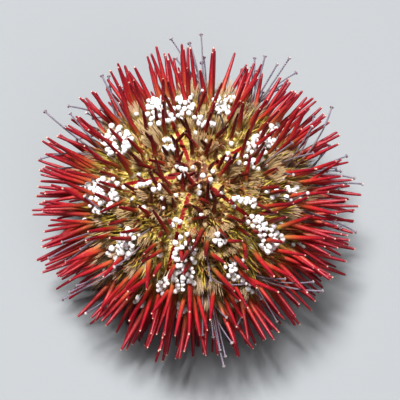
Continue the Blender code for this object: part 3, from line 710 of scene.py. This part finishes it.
class Shade:
    """A short way to write a node material: each call adds a node and returns its main output."""

    def __init__(self, name):
        self.material = bpy.data.materials.new(name)
        self.material.use_nodes = True
        self.nodes, self.links = self.material.node_tree.nodes, self.material.node_tree.links
        self.shader = self.nodes["Principled BSDF"]

    def set(self, socket, value):
        """Links a node's output to a socket, or gives the socket a number, a vector or a colour."""
        if isinstance(value, bpy.types.NodeSocket):
            self.links.new(value, socket)
        else:
            socket.default_value = (*value, 1) if socket.type == "RGBA" else value

    def node(self, kind, output, inputs=(), **settings):
        """A new node with these inputs and settings, as one of its outputs."""
        node = self.nodes.new(f"ShaderNode{kind}")
        for name, value in settings.items():
            setattr(node, name, value)
        for socket, value in inputs:
            self.set(node.inputs[socket], value)
        return node.outputs[output]

    def parts(self, kind, value):
        """The separate parts of a colour or a vector."""
        return self.node(kind, 0, ((0, value),)).node.outputs

    def math(self, operation, a, b=0.0):
        return self.node("Math", 0, ((0, a), (1, b)), operation=operation)

    def plus(self, a, b):
        return self.math("ADD", a, b)

    def minus(self, a, b):
        return self.math("SUBTRACT", a, b)

    def times(self, a, b):
        return self.math("MULTIPLY", a, b)

    def ramp(self, value, stops):
        """A colour ramp from (place, (r, g, b)) stops."""
        output = self.node("ValToRGB", 0, ((0, value),))
        elements = output.node.color_ramp.elements
        while len(elements) < len(stops):
            elements.new(0.5)
        for element, (place, colour) in zip(elements, stops):
            element.position = place
            element.color = (*colour, 1)
        return output

    def rising(self, value, start, end, top=1.0):
        """0 up to start, and the top value from end on."""
        return self.ramp(value, ((start, (0, 0, 0)), (end, (top, top, top))))

    def falling(self, value, start, end):
        """1 up to start, and 0 from end on."""
        return self.ramp(value, ((start, (1, 1, 1)), (end, (0, 0, 0))))

    def mix(self, share, a, b, blend="MIX"):
        """Two colours mixed; the sockets are those of the node's RGBA form."""
        return self.node("Mix", 2, ((0, share), (6, a), (7, b)), data_type="RGBA", blend_type=blend)

    def tint(self, colour, other, value, amount, blend="MIX"):
        """The colour, turned towards another one by an amount of a value."""
        return self.mix(self.times(value, amount), colour, other, blend)

    def noise(self, scale, detail=3.0):
        inputs = (("Scale", scale), ("Detail", detail), ("Roughness", 0.6), ("Vector", self.place()))
        return self.node("TexNoise", "Fac", inputs)

    def cells(self, scale):
        return self.node("TexVoronoi", "Distance", (("Scale", scale), ("Vector", self.place())))

    def place(self):
        """Object coordinates, in metres."""
        return self.node("TexCoord", "Object")

    def coat(self):
        """Share of the length, number of the strand's own, and zone, from the coat attribute."""
        return tuple(self.parts("SeparateColor", self.node("Attribute", "Color", attribute_name="coat")))

    def bump(self, height, distance, strength=1.0):
        inputs = (("Distance", distance), ("Strength", strength), ("Height", height))
        self.set(self.shader.inputs["Normal"], self.node("Bump", 0, inputs))

    def finish(self, piece, slot=None, **values):
        """Sets the shader's inputs and gives the piece this material."""
        for socket, value in values.items():
            self.set(self.shader.inputs[socket.replace("_", " ")], value)
        piece.data.materials.append(self.material)


def coat_material(piece, slot, stops, tints, relief, by="along", **values):
    """Colours along a strand or by its own number, tints on them, and a fine relief.

    A tint is (source, amount, colour). Its source is "own", "zone", or the scale and detail of a noise. The
    relief is the scale and detail of a noise, and its height in mm.
    """
    shade = Shade(piece.name)
    sources = dict(zip(("along", "own", "zone"), shade.coat()))
    colour = shade.ramp(sources[by], stops)
    for source, amount, other in tints:
        value = sources[source] if source in sources else shade.noise(*source)
        colour = shade.tint(colour, other, value, amount)
    scale, detail, height = relief
    shade.bump(shade.noise(scale, detail), height * MM)
    shade.finish(piece, slot, Base_Color=colour, **values)


def scaly_material(piece, slot, stops, size, edge, between, relief):
    """Patchy colours with scales or pores on them, from the cells of a Voronoi texture."""
    shade = Shade(piece.name)
    colour = shade.ramp(shade.noise(500, 4), stops)
    cells = shade.cells(size)
    colour = shade.mix(shade.falling(cells, *edge), colour, between)
    scale, height = relief
    shade.bump(shade.plus(cells, shade.noise(scale)), height * MM)
    shade.finish(piece, slot, Base_Color=colour, Roughness=0.5)


def build_skin():
    """The test's one skin, from the apical plates to the mouth."""
    lengths = np.linspace(APICAL_LENGTH - 0.4 * MM, MOUTH_LENGTH, 150)
    outline = [test_point(theta_at(length)) for length in lengths]
    outline += [(PERISTOME_RADIUS, MOUTH_Z + 0.8 * MM), (PERISTOME_RADIUS - 0.3 * MM, MOUTH_Z + 3 * MM)]
    skin = lathe("test_skin", outline, 420)
    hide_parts(*[f"{kind}_{ray + 1}" for kind, ray in SECTORS])
    skin_material(skin)


def skin_material(skin):
    """Olive interambulacra with a broken red line down the middle of each, and tan ambulacra."""
    shade = Shade(skin.name)
    turn, radius, height = from_midline(shade)
    patches = shade.noise(260, 4)
    fine = shade.noise(1500, 3)
    olive_stops = ((0.3, (0.08, 0.065, 0.012)), (0.5, (0.40, 0.31, 0.07)), (0.72, (0.74, 0.61, 0.30)))
    tan_stops = ((0.3, (0.06, 0.028, 0.010)), (0.55, (0.22, 0.11, 0.045)), (0.75, (0.46, 0.27, 0.12)))
    olive, tan = shade.ramp(patches, olive_stops), shade.ramp(patches, tan_stops)
    colour = shade.mix(shade.rising(turn, 0.36, 0.40), olive, tan)
    colour = shade.tint(colour, (0.75, 0.62, 0.36), fine, 0.5, "SOFT_LIGHT")
    jag = shade.times(shade.noise(1100, 2), 1.0 * MM)
    edge = shade.minus(shade.times(turn, radius), jag)
    line = shade.falling(shade.times(edge, 1000), 0.0, 0.16)
    upper = shade.rising(shade.times(height, 20), 0.45, 0.55)
    whole = shade.rising(shade.noise(420, 2), 0.33, 0.40)
    colour = shade.mix(shade.times(shade.times(line, whole), upper), colour, (0.20, 0.0012, 0.002))
    shade.bump(shade.plus(fine, shade.cells(900)), 0.25 * MM)
    shade.finish(skin, "interambulacral_skin", Base_Color=colour, Roughness=0.6, Specular_IOR_Level=0.25)


def from_midline(shade):
    """Angle from the nearest interambulacrum's middle, radius about the test's axis, and height."""
    x, y, height = shade.parts("SeparateXYZ", shade.place())
    x, y = shade.minus(x, AXIS.x), shade.minus(y, AXIS.y)
    ten_turns = 20 * math.pi
    azimuth = shade.plus(shade.math("ARCTAN2", y, x), ten_turns - sector_centre("interambulacrum", 0))
    turn = shade.math("MODULO", azimuth, RAY_TURN)
    turn = shade.math("MINIMUM", turn, shade.minus(RAY_TURN, turn))
    radius = shade.math("SQRT", shade.plus(shade.times(x, x), shade.times(y, y)))
    return turn, radius, height


def build_spines(draw, room):
    """The primary spines, in one piece for each fifth of the test."""
    spines = grow_spines(primary_spots(draw), draw, room)
    extra = scatter(draw, EXTRA_PITCH, length_at(EXTRA_SHARE), MOUTH_LENGTH - 1 * MM)
    spines += grow_spines(extra, draw, room, thickness=0.88, reach=0.94, tries=EXTRA_TRIES)
    for spot, direction, _, radius in spines:
        room.take(spot.point, spot.point + direction * 1.5 * radius, 1.5 * radius)
    for group in range(RAYS):
        own = [s for s in spines if int(s[0].azimuth % (2 * math.pi) / RAY_TURN) == group]
        spine_material(spine_mesh(f"primary_spines_{group + 1}", own))


def spine_mesh(name, spines):
    """Spines with a boss at the root, a milled ring, fluted sides and a blunt tip."""
    strands = Strands(name, 12, lobed(12, 0.055, 6))
    draw = random.Random(SEED + 5)
    for spot, direction, length, radius in spines:
        boss = min(3.6 * radius, 0.24 * length)
        heights = np.concatenate([BOSS_RISE * boss, boss + SHAFT_RISE * (length - boss)])
        sag = np.cross(direction, unit(random_vector(draw, 1)))
        bow = sag * (np.maximum(heights, 0) / length)[:, None] ** 2 * length * draw.uniform(0, 0.035)
        path = spot.point + direction * heights[:, None] + bow
        path[:, 2] = np.maximum(path[:, 2], 0.25 * MM)
        zone = clamp(spine_length(spot.share) / LONGEST_SPINE)
        strands.add(path, radius * np.concatenate([BOSS_WIDTH, SHAFT_WIDTH]), spot.bake, draw.random(), zone)
    return strands.piece()


def spine_material(piece):
    """Cream boss, olive collar, orange shaft, then red to crimson and a pale dot; darker at the apex."""
    shade = Shade(piece.name)
    along, own, zone = shade.coat()
    wander = shade.times(shade.minus(own, 0.5), 0.10)
    place = shade.plus(along, wander)
    long_colour = shade.ramp(place, LONG_SPINE_COLOURS)
    apex_colour = shade.ramp(place, APEX_SPINE_COLOURS)
    apex_colour = shade.mix(shade.rising(own, 0.72, 1.0, 0.65), apex_colour, long_colour)
    grown = shade.rising(shade.plus(zone, shade.times(wander, 1.5)), 0.52, 0.88)
    colour = shade.mix(grown, apex_colour, long_colour)
    streak = shade.noise(1400, 3)
    colour = shade.tint(colour, (0.10, 0.0, 0.0), streak, 0.45)
    specks = shade.falling(shade.cells(1100), 0.10, 0.20)
    colour = shade.tint(colour, (0.90, 0.42, 0.38), specks, 0.28)
    shade.bump(streak, 0.12 * MM)
    shade.finish(
        piece,
        "interambulacral_skin",
        Base_Color=colour,
        Roughness=0.46,
        Specular_IOR_Level=0.36,
        Subsurface_Weight=0.12,
        Subsurface_Radius=(1.0, 0.25, 0.15),
        Subsurface_Scale=0.6 * MM,
        Coat_Weight=0.07,
        Coat_Roughness=0.3,
    )


def build_small_spines(draw, room):
    """Thin secondary spines between the primary ones, olive and brown."""
    half = length_at(0.5)
    spots = scatter(draw, SMALL_SPINE_PITCH, 2.5 * MM, half)
    spots += scatter(draw, LOWER_SMALL_SPINE_PITCH, half, MOUTH_LENGTH)
    strands = Strands("secondary_spines", 6)
    for spot in beside_midlines(spots, 1.7 * MM, 0.45):
        for _ in range(SMALL_SPINE_TRIES):
            direction = unit(spot.tilted(draw, 0.28) + spot.down * draw.uniform(0.1, 0.5))
            growth = clamp(2.2 * spot.share + 0.15)
            length = (1.7 + 4.2 * growth) * MM * draw.uniform(0.7, 1.25)
            end = spot.point + direction * length
            if end[2] > 0.5 * MM and room.free(spot.point, end, 0.16 * MM):
                heights = np.array((-0.3 * MM, 0.25 * MM, 0.4 * length, 0.75 * length, 0.95 * length, length))
                radii = draw.uniform(0.8, 1.2) * 0.24 * MM * SMALL_SPINE_WIDTH
                strands.add(spot.point + direction * heights[:, None], radii, spot.bake, draw.random())
                break
    small_spine_material(strands.piece())


def small_spine_material(piece):
    """Olive along most small spines and brown along the others, both darker to the tip."""
    shade = Shade(piece.name)
    along, own, _ = shade.coat()
    place = shade.plus(along, shade.times(shade.minus(own, 0.5), 0.3))
    olive, brown = shade.ramp(place, OLIVE_SPINE_COLOURS), shade.ramp(place, BROWN_SPINE_COLOURS)
    colour = shade.mix(shade.rising(own, 0.68, 0.75), olive, brown)
    shade.bump(shade.noise(1800), 0.08 * MM)
    shade.finish(piece, "interambulacral_skin", Base_Color=colour, Roughness=0.42)


def fan_spots(draw):
    """Roots of the tan fans: rows along each ambulacrum and beside its borders."""
    spots = []
    for ray in range(RAYS):
        for row, share in enumerate(FAN_SHARES):
            length = length_at(share + draw.uniform(-0.02, 0.02))
            width = sector_width("ambulacrum", length)
            for place in FAN_PLACES[row % 2]:
                if draw.random() < 0.88:
                    sideways = place * width + draw.gauss(0, 0.3) * MM
                    spots.append(sector_spot("ambulacrum", ray, length, sideways))
    return spots


def grow_fan(draw, room, spot, strands):
    """The filaments of one fan, which open sideways and lean down the test; all have the fan's one tone."""
    lean = draw.uniform(0.25, 0.8)
    opening = draw.uniform(0.28, 0.5)
    wide = draw.uniform(0.8, 1.6) * MM
    growth = 0.65 + 0.5 * clamp(spot.share / 0.4) + 1.8 * max(0, spot.share - 0.4)
    length = draw.uniform(4.8, 9.0) * MM * growth
    aim = spot.normal + spot.down * lean + spot.side * draw.gauss(0, 0.18)
    tone = draw.random()
    for _ in range(FAN_HAIRS):
        place = draw.uniform(-1, 1)
        direction = unit(aim + spot.side * place * opening + spot.normal * draw.gauss(0, 0.10))
        root = spot.point + spot.side * place * wide + spot.down * draw.uniform(-0.5, 0.5) * MM
        reach = length * draw.uniform(0.55, 1.0) * (1 - 0.30 * place * place)
        if room.free(root + direction * 0.5 * MM, root + direction * reach, 0.04 * MM):
            curl = random_vector(draw, 0.03) * reach
            path = root + direction * (FAN_RISE * reach)[:, None] + curl * (FAN_RISE * FAN_RISE)[:, None]
            strands.add(path, FAN_WIDTH * MM, spot.bake, draw.random(), tone)


def build_fans(draw, room):
    """Tan fans of fine filaments in the ambulacra, near the apex and farther out."""
    groups = {name: Strands(name, 3) for name in FAN_TIPS}
    for spot in fan_spots(draw):
        grow_fan(draw, room, spot, groups["tan_fans_outer" if spot.share > 0.32 else "tan_fans_inner"])
    for name, strands in groups.items():
        # Tan along the filaments, with painted shade darkening them towards their roots
        coat_material(
            strands.piece(),
            "ambulacral_skin",
            (*FAN_COLOURS_AND_ROOT_SHADE, (1.0, FAN_TIPS[name])),
            (
                ("own", 0.45, (0.24, 0.15, 0.06)),
                ("zone", 0.4, (0.56, 0.36, 0.26)),
                ((1200, 3), 0.3, (0.60, 0.46, 0.30)),
            ),
            (2500, 3, 0.04),
            Roughness=0.55,
        )


def build_granules(draw):
    """Small round tubercles that cover the test between the spines."""
    spots = scatter(draw, GRANULE_PITCH, 1.9 * MM, length_at(0.62))
    spots = beside_midlines(spots, 0.9 * MM, 0.42)
    sizes = [draw.uniform(0.2, 0.42) * MM for _ in spots]
    seeds = [draw.random() for _ in spots]
    for kind, stops in GRANULE_COLOURS.items():
        strands = Strands(f"granules_{kind}", 7)
        for spot, size, seed in zip(spots, sizes, seeds):
            if ambulacral(spot) == (kind == "ambulacral"):
                path = spot.point + spot.normal * (GRANULE_RISE * size)[:, None]
                strands.add(path, GRANULE_WIDTH * size, spot.bake, seed)
        tints = (((1600, 3), 0.5, (0.34, 0.19, 0.08)),)
        coat_material(strands.piece(), f"{kind}_skin", stops, tints, (2600, 3, 0.06), by="own", Roughness=0.4)


def spots_seen():
    """Spots over the test that face the camera, and where it sees a white head over each, from the apex."""
    azimuths, lengths = np.linspace(0, 2 * math.pi, 300), np.linspace(0.3 * MM, length_at(0.62), 70)
    spots = [Spot(azimuth, length) for azimuth in azimuths for length in lengths]
    spots = [s for s in spots if s.normal[2] * math.sin(VIEW_RISE) - s.normal[1] * math.cos(VIEW_RISE) > 0.15]
    heads = np.array([spot.point + spot.normal * HEAD_HEIGHT for spot in spots])
    over_apex = heads[:, 2] - WIDEST_Z - TEST_RISE
    up = heads[:, 1] * math.sin(VIEW_RISE) + over_apex * math.cos(VIEW_RISE)
    return spots, np.stack([heads[:, 0], up])


def patch_grid(long, wide):
    """Places of a patch's heads, in mm along and across it: staggered rows inside an ellipse."""
    rows, columns = int(long / PATCH_PITCH) + 1, int(wide / PATCH_PITCH) + 1
    places = []
    for row in range(rows):
        for column in range(columns):
            along = (row - (rows - 1) / 2) * PATCH_PITCH
            across = (column - (columns - 1) / 2 + 0.5 * (row % 2) * (columns > 1)) * PATCH_PITCH
            if (2 * along / long) ** 2 + (2 * across / wide) ** 2 <= PATCH_EDGE:
                places.append((along, across))
    return places


def head_patches(draw):
    """Places of the heads that stand in patches, as (spot, height over the test)."""
    places = []
    spots, seen = spots_seen()
    for right, up, long, wide in (patch for group in HEAD_PATCHES for patch in group):
        heading = math.atan2(up, right)
        height = draw.uniform(4.2, 5.8) * MM
        for along, across in patch_grid(long, wide):
            along += draw.gauss(0, 0.2)
            across += draw.gauss(0, 0.2)
            x = right + along * math.cos(heading) - across * math.sin(heading)
            y = up + along * math.sin(heading) + across * math.cos(heading)
            spot = spots[int(np.argmin(np.hypot(seen[0] - x * MM, seen[1] - y * MM)))]
            places.append((spot, height + draw.gauss(0, 0.4) * MM))
    return places


def head_belt(draw):
    """Places of the heads in short packed rows at the widest line."""
    low, high = BELT_SHARES
    places = []
    for kind, ray in SECTORS:
        for band in (-0.24, 0.24) if kind == "interambulacrum" else (0.0,):
            start = draw.uniform(low - 0.03, low + 0.03)
            end = draw.uniform(high - 0.03, high + 0.03)
            rows = int((end - start) * (MOUTH_LENGTH - APICAL_LENGTH) / BELT_PITCH) + 1
            height = draw.uniform(3.4, 6.2) * MM
            drift = draw.gauss(0, 0.05)
            for row, column in ((row, column) for row in range(rows) for column in range(BELT_COLUMNS)):
                if draw.random() < BELT_GAPS:
                    continue
                length = length_at(start) + (row + 0.5 * (column % 2)) * BELT_PITCH
                sideways = (band + drift) * sector_width(kind, length)
                sideways += (column - (BELT_COLUMNS - 1) / 2) * BELT_PITCH + draw.gauss(0, 0.2) * MM
                spot = sector_spot(kind, ray, length + draw.gauss(0, 0.2) * MM, sideways)
                places.append((spot, height + draw.gauss(0, 0.45) * MM))
    return places


def single_heads(draw):
    """Places of the heads that stand alone, most of them low."""
    places = []
    for number, low, high in SINGLE_HEADS:
        for _ in range(number):
            spot = Spot(draw.uniform(0, 2 * math.pi), length_at(draw.uniform(low, high)))
            places.append((spot, draw.uniform(1.2, 3.6) * MM))
    return places


def grow_head(draw, room, spot, height, heads, stalks):
    """One head and its stalk, tilted more at each try until there is room for the head."""
    for attempt in range(HEAD_TRIES):
        direction = spot.tilted(draw, 0.03 + 0.016 * attempt)
        size = draw.uniform(0.62, 0.86) * MM
        length = height + draw.uniform(-0.5, 0.5) * MM
        middle = spot.point + direction * length
        ends = middle - direction * 0.3 * size, middle + direction * 0.3 * size
        if middle[2] > 2 * MM and room.claim([(*ends, 0.74 * size)]):
            bend = random_vector(draw, 0.12) * length
            t = np.linspace(0, 1, 5)[:, None]
            heights = t * (length - 0.85 * size + 0.3 * MM) - 0.3 * MM
            facing = unit(direction + random_vector(draw, 0.25))
            seed = draw.random()
            stalk = spot.point + direction * heights + bend * t * (1 - t)
            stalks.add(stalk, STALK_WIDTH * MM, spot.bake, seed)
            head = middle + facing * (HEAD_RISE * size * 1.12)[:, None]
            heads.add(head, HEAD_WIDTH * size, spot.bake, seed)
            return


def build_heads(draw, room):
    """White pedicellariae: three swollen jaws closed over a thin stalk."""
    heads = Strands("pedicellaria_heads", 15, lobed(15, 0.13, 3))
    stalks = Strands("pedicellaria_stalks", 6)
    for spot, height in head_patches(draw) + head_belt(draw) + single_heads(draw):
        grow_head(draw, room, spot, height, heads, stalks)
    coat_material(
        heads.piece(),
        "soft_membrane",
        HEAD_COLOURS,
        (((2600, 2), 0.22, (0.78, 0.74, 0.70)),),
        (2400, 2, 0.10),
        Roughness=0.38,
        Subsurface_Weight=0.3,
        Subsurface_Radius=(1.0, 0.8, 0.7),
        Subsurface_Scale=0.4 * MM,
    )
    tints = (((1500, 3), 0.4, (0.40, 0.25, 0.15)),)
    coat_material(stalks.piece(), "soft_membrane", STALK_COLOURS, tints, (2000, 3, 0.06), Roughness=0.5)


def build_feet(name, feet):
    """Tube feet: a soft stalk that narrows a little, and a round sucker with a thick rim at its end."""
    strands = Strands(name, 10)
    draw = random.Random(SEED + 9)
    for spot, points in feet:
        end, heading = points[-1], unit(points[-1] - points[-2])
        size = draw.uniform(0.52, 0.66) * MM
        path = np.concatenate([points[:-1], end + heading * (SUCKER_RISE * MM)[:, None]])
        places = np.linspace(0, 1, len(points) - 1)
        stalk = np.interp(places, (0, 0.08, 0.6, 1), (0.42, 0.30, 0.24, 0.24)) * MM
        stalk *= draw.uniform(0.88, 1.12)
        strands.add(path, np.concatenate([stalk, SUCKER_WIDTH * size]), spot.bake, draw.random())
    foot_material(strands.piece())


def foot_material(piece):
    """A bluish, half clear stalk with fine rings and a pale pink sucker."""
    shade = Shade(piece.name)
    along, _, _ = shade.coat()
    rings = shade.math("SINE", shade.times(along, 260))
    colour = shade.tint(shade.ramp(along, FOOT_COLOURS), (0.70, 0.50, 0.46), shade.noise(1300, 2), 0.35)
    shade.bump(rings, 0.07 * MM)
    shade.finish(
        piece,
        "soft_membrane",
        Base_Color=colour,
        Roughness=0.3,
        Transmission_Weight=0.25,
        IOR=1.36,
        Subsurface_Weight=0.3,
        Subsurface_Radius=(1.0, 0.8, 0.8),
        Subsurface_Scale=0.5 * MM,
    )


def grow_tuft(draw, room, spot, groups):
    """One tuft of down in a narrow fan, wider and brown near the apex; some places stay bare."""
    near_apex = spot.share < 0.22
    if draw.random() > (0.92 if ambulacral(spot) or near_apex else 0.66):
        return
    name = "tan_down_ambulacral" if ambulacral(spot) else "tan_down_interambulacral"
    if near_apex or draw.random() < 0.15:
        name = "brown_down"
    middle = spot.tilted(draw, 0.2)
    fan = unit(spot.side * draw.gauss(0, 0.6) + spot.down * draw.gauss(0, 1))
    own = draw.random()
    length = draw.uniform(1.5, 2.6) * MM if near_apex else draw.uniform(1.8, 3.6) * MM
    for hair in range(HAIRS):
        spread = (hair / (HAIRS - 1) - 0.5) * (1.5 if near_apex else 0.8)
        direction = unit(middle + fan * spread + random_vector(draw, 0.07))
        root = spot.point + fan * spread * 1.2 * MM
        reach = length * draw.uniform(0.8, 1.1) * (1 - 0.25 * abs(spread))
        if room.free(root + direction * 0.5 * MM, root + direction * reach, 0.02 * MM):
            groups[name].add(root + direction * (DOWN_RISE * reach)[:, None], DOWN_WIDTH * MM, spot.bake, own)


def build_down(draw, room):
    """Fine tan and brown down in tufts all over the test, thickest round the apex."""
    spots = scatter(draw, DOWN_PITCH, 1.2 * MM, length_at(0.8))
    spots += scatter(draw, APEX_DOWN_PITCH, 1.2 * MM, length_at(0.16))
    names = ("tan_down_ambulacral", "tan_down_interambulacral", "brown_down")
    groups = {name: Strands(name, 3) for name in names}
    for spot in beside_midlines(spots, 2.2 * MM, 0.5):
        grow_tuft(draw, room, spot, groups)
    for name, strands in groups.items():
        brown = name == "brown_down"
        # Each tuft's colours start with painted shade at the root and run to its own tan or brown
        stops = BROWN_DOWN_COLOURS_AND_ROOT_SHADE if brown else TAN_DOWN_COLOURS_AND_ROOT_SHADE
        other = (0.60, 0.33, 0.10) if brown else (0.60, 0.48, 0.09)
        tints = (("own", 0.7, other), ((1500, 3), 0.4, (0.16, 0.08, 0.03)))
        coat_material(strands.piece(), "ambulacral_skin", stops, tints, (2500, 3, 0.04), Roughness=0.55)


def groove(distance, width):
    """0 in the middle of a groove, and near 1 beside it."""
    return 1 - np.exp(-((distance / width) ** 2))


def plate_relief(azimuth, radius):
    """Sutures between the apical plates, and a ring round each small plate at their outer corners."""
    suture = turn_from(azimuth, sector_centre("ambulacrum", 0)) * radius
    ocular = np.hypot(radius - APICAL_RADIUS, suture)
    rise = 0.28 * MM * groove(suture, 0.3 * MM)
    rise = np.where(ocular < 1.15 * MM, 0.25 * MM * groove(ocular - 1.1 * MM, 0.2 * MM), rise)
    inner = np.clip((radius - PERIPROCT_RADIUS) / (0.4 * MM), 0, 1)
    outer = np.clip((APICAL_RADIUS + 0.2 * MM - radius) / (0.3 * MM), 0, 1)
    return rise * inner * outer


def build_apex():
    """The apical plates, with sutures and pores, and the scaly periproct."""
    radii = np.linspace(PERIPROCT_RADIUS - 0.1 * MM, APICAL_RADIUS + 0.3 * MM, 46)
    heights = np.interp(radii, RADII[:HALF], [test_point(a)[1] for a in ANGLES[:HALF]])
    plates = lathe("apical_plates", list(zip(radii, heights)), 240, plate_relief)
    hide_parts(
        "genital_plate_1", "madreporite", "genital_plate_3", "genital_plate_4", "genital_plate_5"
    )
    stops = ((0.3, (0.05, 0.008, 0.005)), (0.5, (0.22, 0.08, 0.025)), (0.72, (0.54, 0.31, 0.10)))
    pores = (0.10, 0.02, 0.015)
    scaly_material(plates, "apical_plate", stops, 2600, (0.1, 0.4), pores, (2200, 0.2))

    top = WIDEST_Z + TEST_RISE
    rings = np.linspace(0, PERIPROCT_RADIUS + 0.05 * MM, 16)
    dome = top - 0.15 * MM + 0.55 * MM * (1 - groove(rings - 0.9 * MM, 0.6 * MM))
    anus = lathe("periproct_skin", list(zip(rings, dome)), 90)
    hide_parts("periproct")
    shade = Shade("periproct_skin")
    scales = shade.cells(1500)
    stops = ((0.05, (0.50, 0.30, 0.16)), (0.5, (0.26, 0.07, 0.05)), (0.8, (0.05, 0.01, 0.01)))
    shade.bump(scales, 0.25 * MM, 0.8)
    shade.finish(anus, "soft_membrane", Base_Color=shade.ramp(scales, stops), Roughness=0.45)


def build_peristome():
    """The folded skin round the mouth, with small scales."""
    outer, inner = PERISTOME_RADIUS - 0.2 * MM, LANTERN_RADIUS + 0.1 * MM
    radii = np.linspace(outer, inner, 40)
    share = (outer - radii) / (outer - inner)
    heights = MOUTH_Z + 0.35 * MM * np.sin(share * 9) - 1.0 * MM * share**3 + 0.8 * MM * (1 - share) ** 4
    profile = list(zip(radii, heights))
    profile += [(inner - 0.3 * MM, heights[-1] + 0.5 * MM), (inner - 0.4 * MM, heights[-1] + 3 * MM)]
    skin = lathe("peristome_skin", profile, 300)
    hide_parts("peristome")
    stops = ((0.3, (0.26, 0.12, 0.06)), (0.55, (0.52, 0.33, 0.18)), (0.75, (0.70, 0.52, 0.32)))
    scales = (0.74, 0.60, 0.42)
    scaly_material(skin, "soft_membrane", stops, 900, (0.2, 0.5), scales, (1500, 0.3))


def build_buccal_feet_and_gills(draw):
    """Ten short feet on the peristome, and ten bushes of gills at its edge."""
    feet, gills = [], []
    for ray in range(RAYS):
        centre = sector_centre("ambulacrum", ray)
        for side in (-1, 1):
            azimuth = centre + side * 0.17
            spot = Spot(azimuth, MOUTH_LENGTH)
            start = radial(azimuth, 6.6 * MM, MOUTH_Z + 0.3 * MM)
            feet.append((spot, start + np.array((0, 0, -1.0)) * (np.linspace(0, 2.1, 8) * MM)[:, None]))
            border = centre + side * SECTOR_TURN["ambulacrum"] / 2
            for _ in range(GILLS):
                azimuth = border + draw.gauss(0, 0.08)
                direction = unit(radial(azimuth + draw.gauss(0, 0.5), draw.uniform(0.2, 0.9), -0.8))
                reach = draw.uniform(1.2, 2.9) * MM
                root = radial(azimuth, draw.uniform(7.9, 8.7) * MM, MOUTH_Z + 0.4 * MM)
                gills.append((root + direction * reach * np.linspace(0, 1, 5)[:, None], spot.bake))
    build_feet("buccal_feet", feet)
    strands = Strands("gills", 7)
    for path, bake in gills:
        strands.add(path, GILL_WIDTH * MM, bake, draw.random())
    tints = (((1500, 3), 0.5, (0.44, 0.22, 0.16)),)
    coat_material(strands.piece(), "soft_membrane", GILL_COLOURS, tints, (2000, 3, 0.08), Roughness=0.45)


def build_tooth(ray):
    """One white tooth that curves in and down to a chisel tip, on its brown jaw."""
    azimuth = sector_centre("interambulacrum", ray)
    t = np.linspace(0, 1, 16)
    ring = (3.0 - 2.2 * t**1.6) * MM
    height = MOUTH_Z + (2.2 - 6.2 * t) * MM
    path = np.stack([radial(azimuth, r, z) for r, z in zip(ring, height)])
    radii = np.interp(t, (0, 0.35, 0.6, 0.9, 1), (1.25, 1.15, 0.85, 0.5, 0.22)) * MM
    strands = Strands(f"tooth_{ray + 1}_form", 16, lobed(16, 0.12, 2))
    strands.add(path, radii, (azimuth / (2 * math.pi) % 1, 0.01))
    piece = strands.piece()
    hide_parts(f"tooth_{ray + 1}")
    tints = (((900, 4), 0.4, (0.60, 0.50, 0.36)),)
    coat_material(piece, "tooth", TOOTH_COLOURS, tints, (1300, 3, 0.1), Roughness=0.3)


def build_camera():
    """The photo's view: from above the -Y side, looking down steeply."""
    distance = 0.46
    target = Vector((AXIS.x + 0.0015, AXIS.y + 0.0003, WIDEST_Z + 0.0008))
    data = bpy.data.cameras.new("camera")
    data.lens = 140.5
    data.clip_start = 0.01
    camera = add_object("camera", data)
    camera.location = target + Vector((0, -math.cos(VIEW_RISE), math.sin(VIEW_RISE))) * distance
    camera.rotation_euler = (math.pi / 2 - VIEW_RISE, 0, 0)
    bpy.context.scene.camera = camera


def build_light():
    """Soft studio light: a broad key from above and behind, a top and a front fill, and a pale world."""
    for name, place, breadth, strength in (
        ("key", (-0.10, 0.18, 0.55), 17, 5.8),
        ("fill", (0.25, -0.40, 0.45), 36, 0.55),
        ("top", (0.10, 0.0, 0.70), 32, 0.5),
    ):
        data = bpy.data.lights.new(name, "SUN")
        data.angle = math.radians(breadth)
        data.energy = strength
        lamp = add_object(name, data)
        lamp.location = place
        lamp.rotation_euler = (-Vector(place)).to_track_quat("-Z", "Y").to_euler()
    bpy.context.scene.world = pale_world()
    bpy.context.scene.view_settings.view_transform = "Standard"
    bpy.context.scene.view_settings.look = "Medium High Contrast"


def pale_world():
    """A world that the camera sees bright, and that lights the animal only a little."""
    lit, seen_more = 0.05, 0.6
    world = bpy.data.worlds.new("studio")
    world.use_nodes = True
    nodes, links = world.node_tree.nodes, world.node_tree.links
    nodes["Background"].inputs[0].default_value = (0.92, 0.94, 1.0, 1)
    strength = nodes.new("ShaderNodeMath")
    strength.operation = "MULTIPLY_ADD"
    links.new(nodes.new("ShaderNodeLightPath").outputs["Is Camera Ray"], strength.inputs[0])
    strength.inputs[1].default_value = seen_more
    strength.inputs[2].default_value = lit
    links.new(strength.outputs[0], nodes["Background"].inputs[1])
    return world


def build_floor():
    """The grey floor of the studio, which isn't part of the animal."""
    reach = 2.0
    mesh = bpy.data.meshes.new("floor")
    corners = [(-reach, -reach, 0), (reach, -reach, 0), (reach, reach, 0), (-reach, reach, 0)]
    mesh.from_pydata(corners, [], [(0, 1, 2, 3)])
    floor = add_object("floor", mesh)
    Shade("floor").finish(floor, Base_Color=(0.24, 0.25, 0.26), Roughness=0.7)


def main():
    draw = random.Random(SEED)
    room = Room(MOST_CLAIMS)
    build_skin()
    build_apex()
    build_peristome()
    build_buccal_feet_and_gills(draw)
    for ray in range(RAYS):
        build_tooth(ray)
    floor_feet = grow_floor_feet(draw, room)
    long_feet = grow_long_feet(draw, room)
    build_spines(draw, room)
    short_feet = grow_short_feet(draw, room)
    build_heads(draw, room)
    build_small_spines(draw, room)
    build_fans(draw, room)
    build_down(draw, room)
    build_granules(draw)
    for name, feet in (("floor_feet", floor_feet), ("long_feet", long_feet), ("short_feet", short_feet)):
        build_feet(name, feet)
    build_floor()
    build_light()
    build_camera()


main()
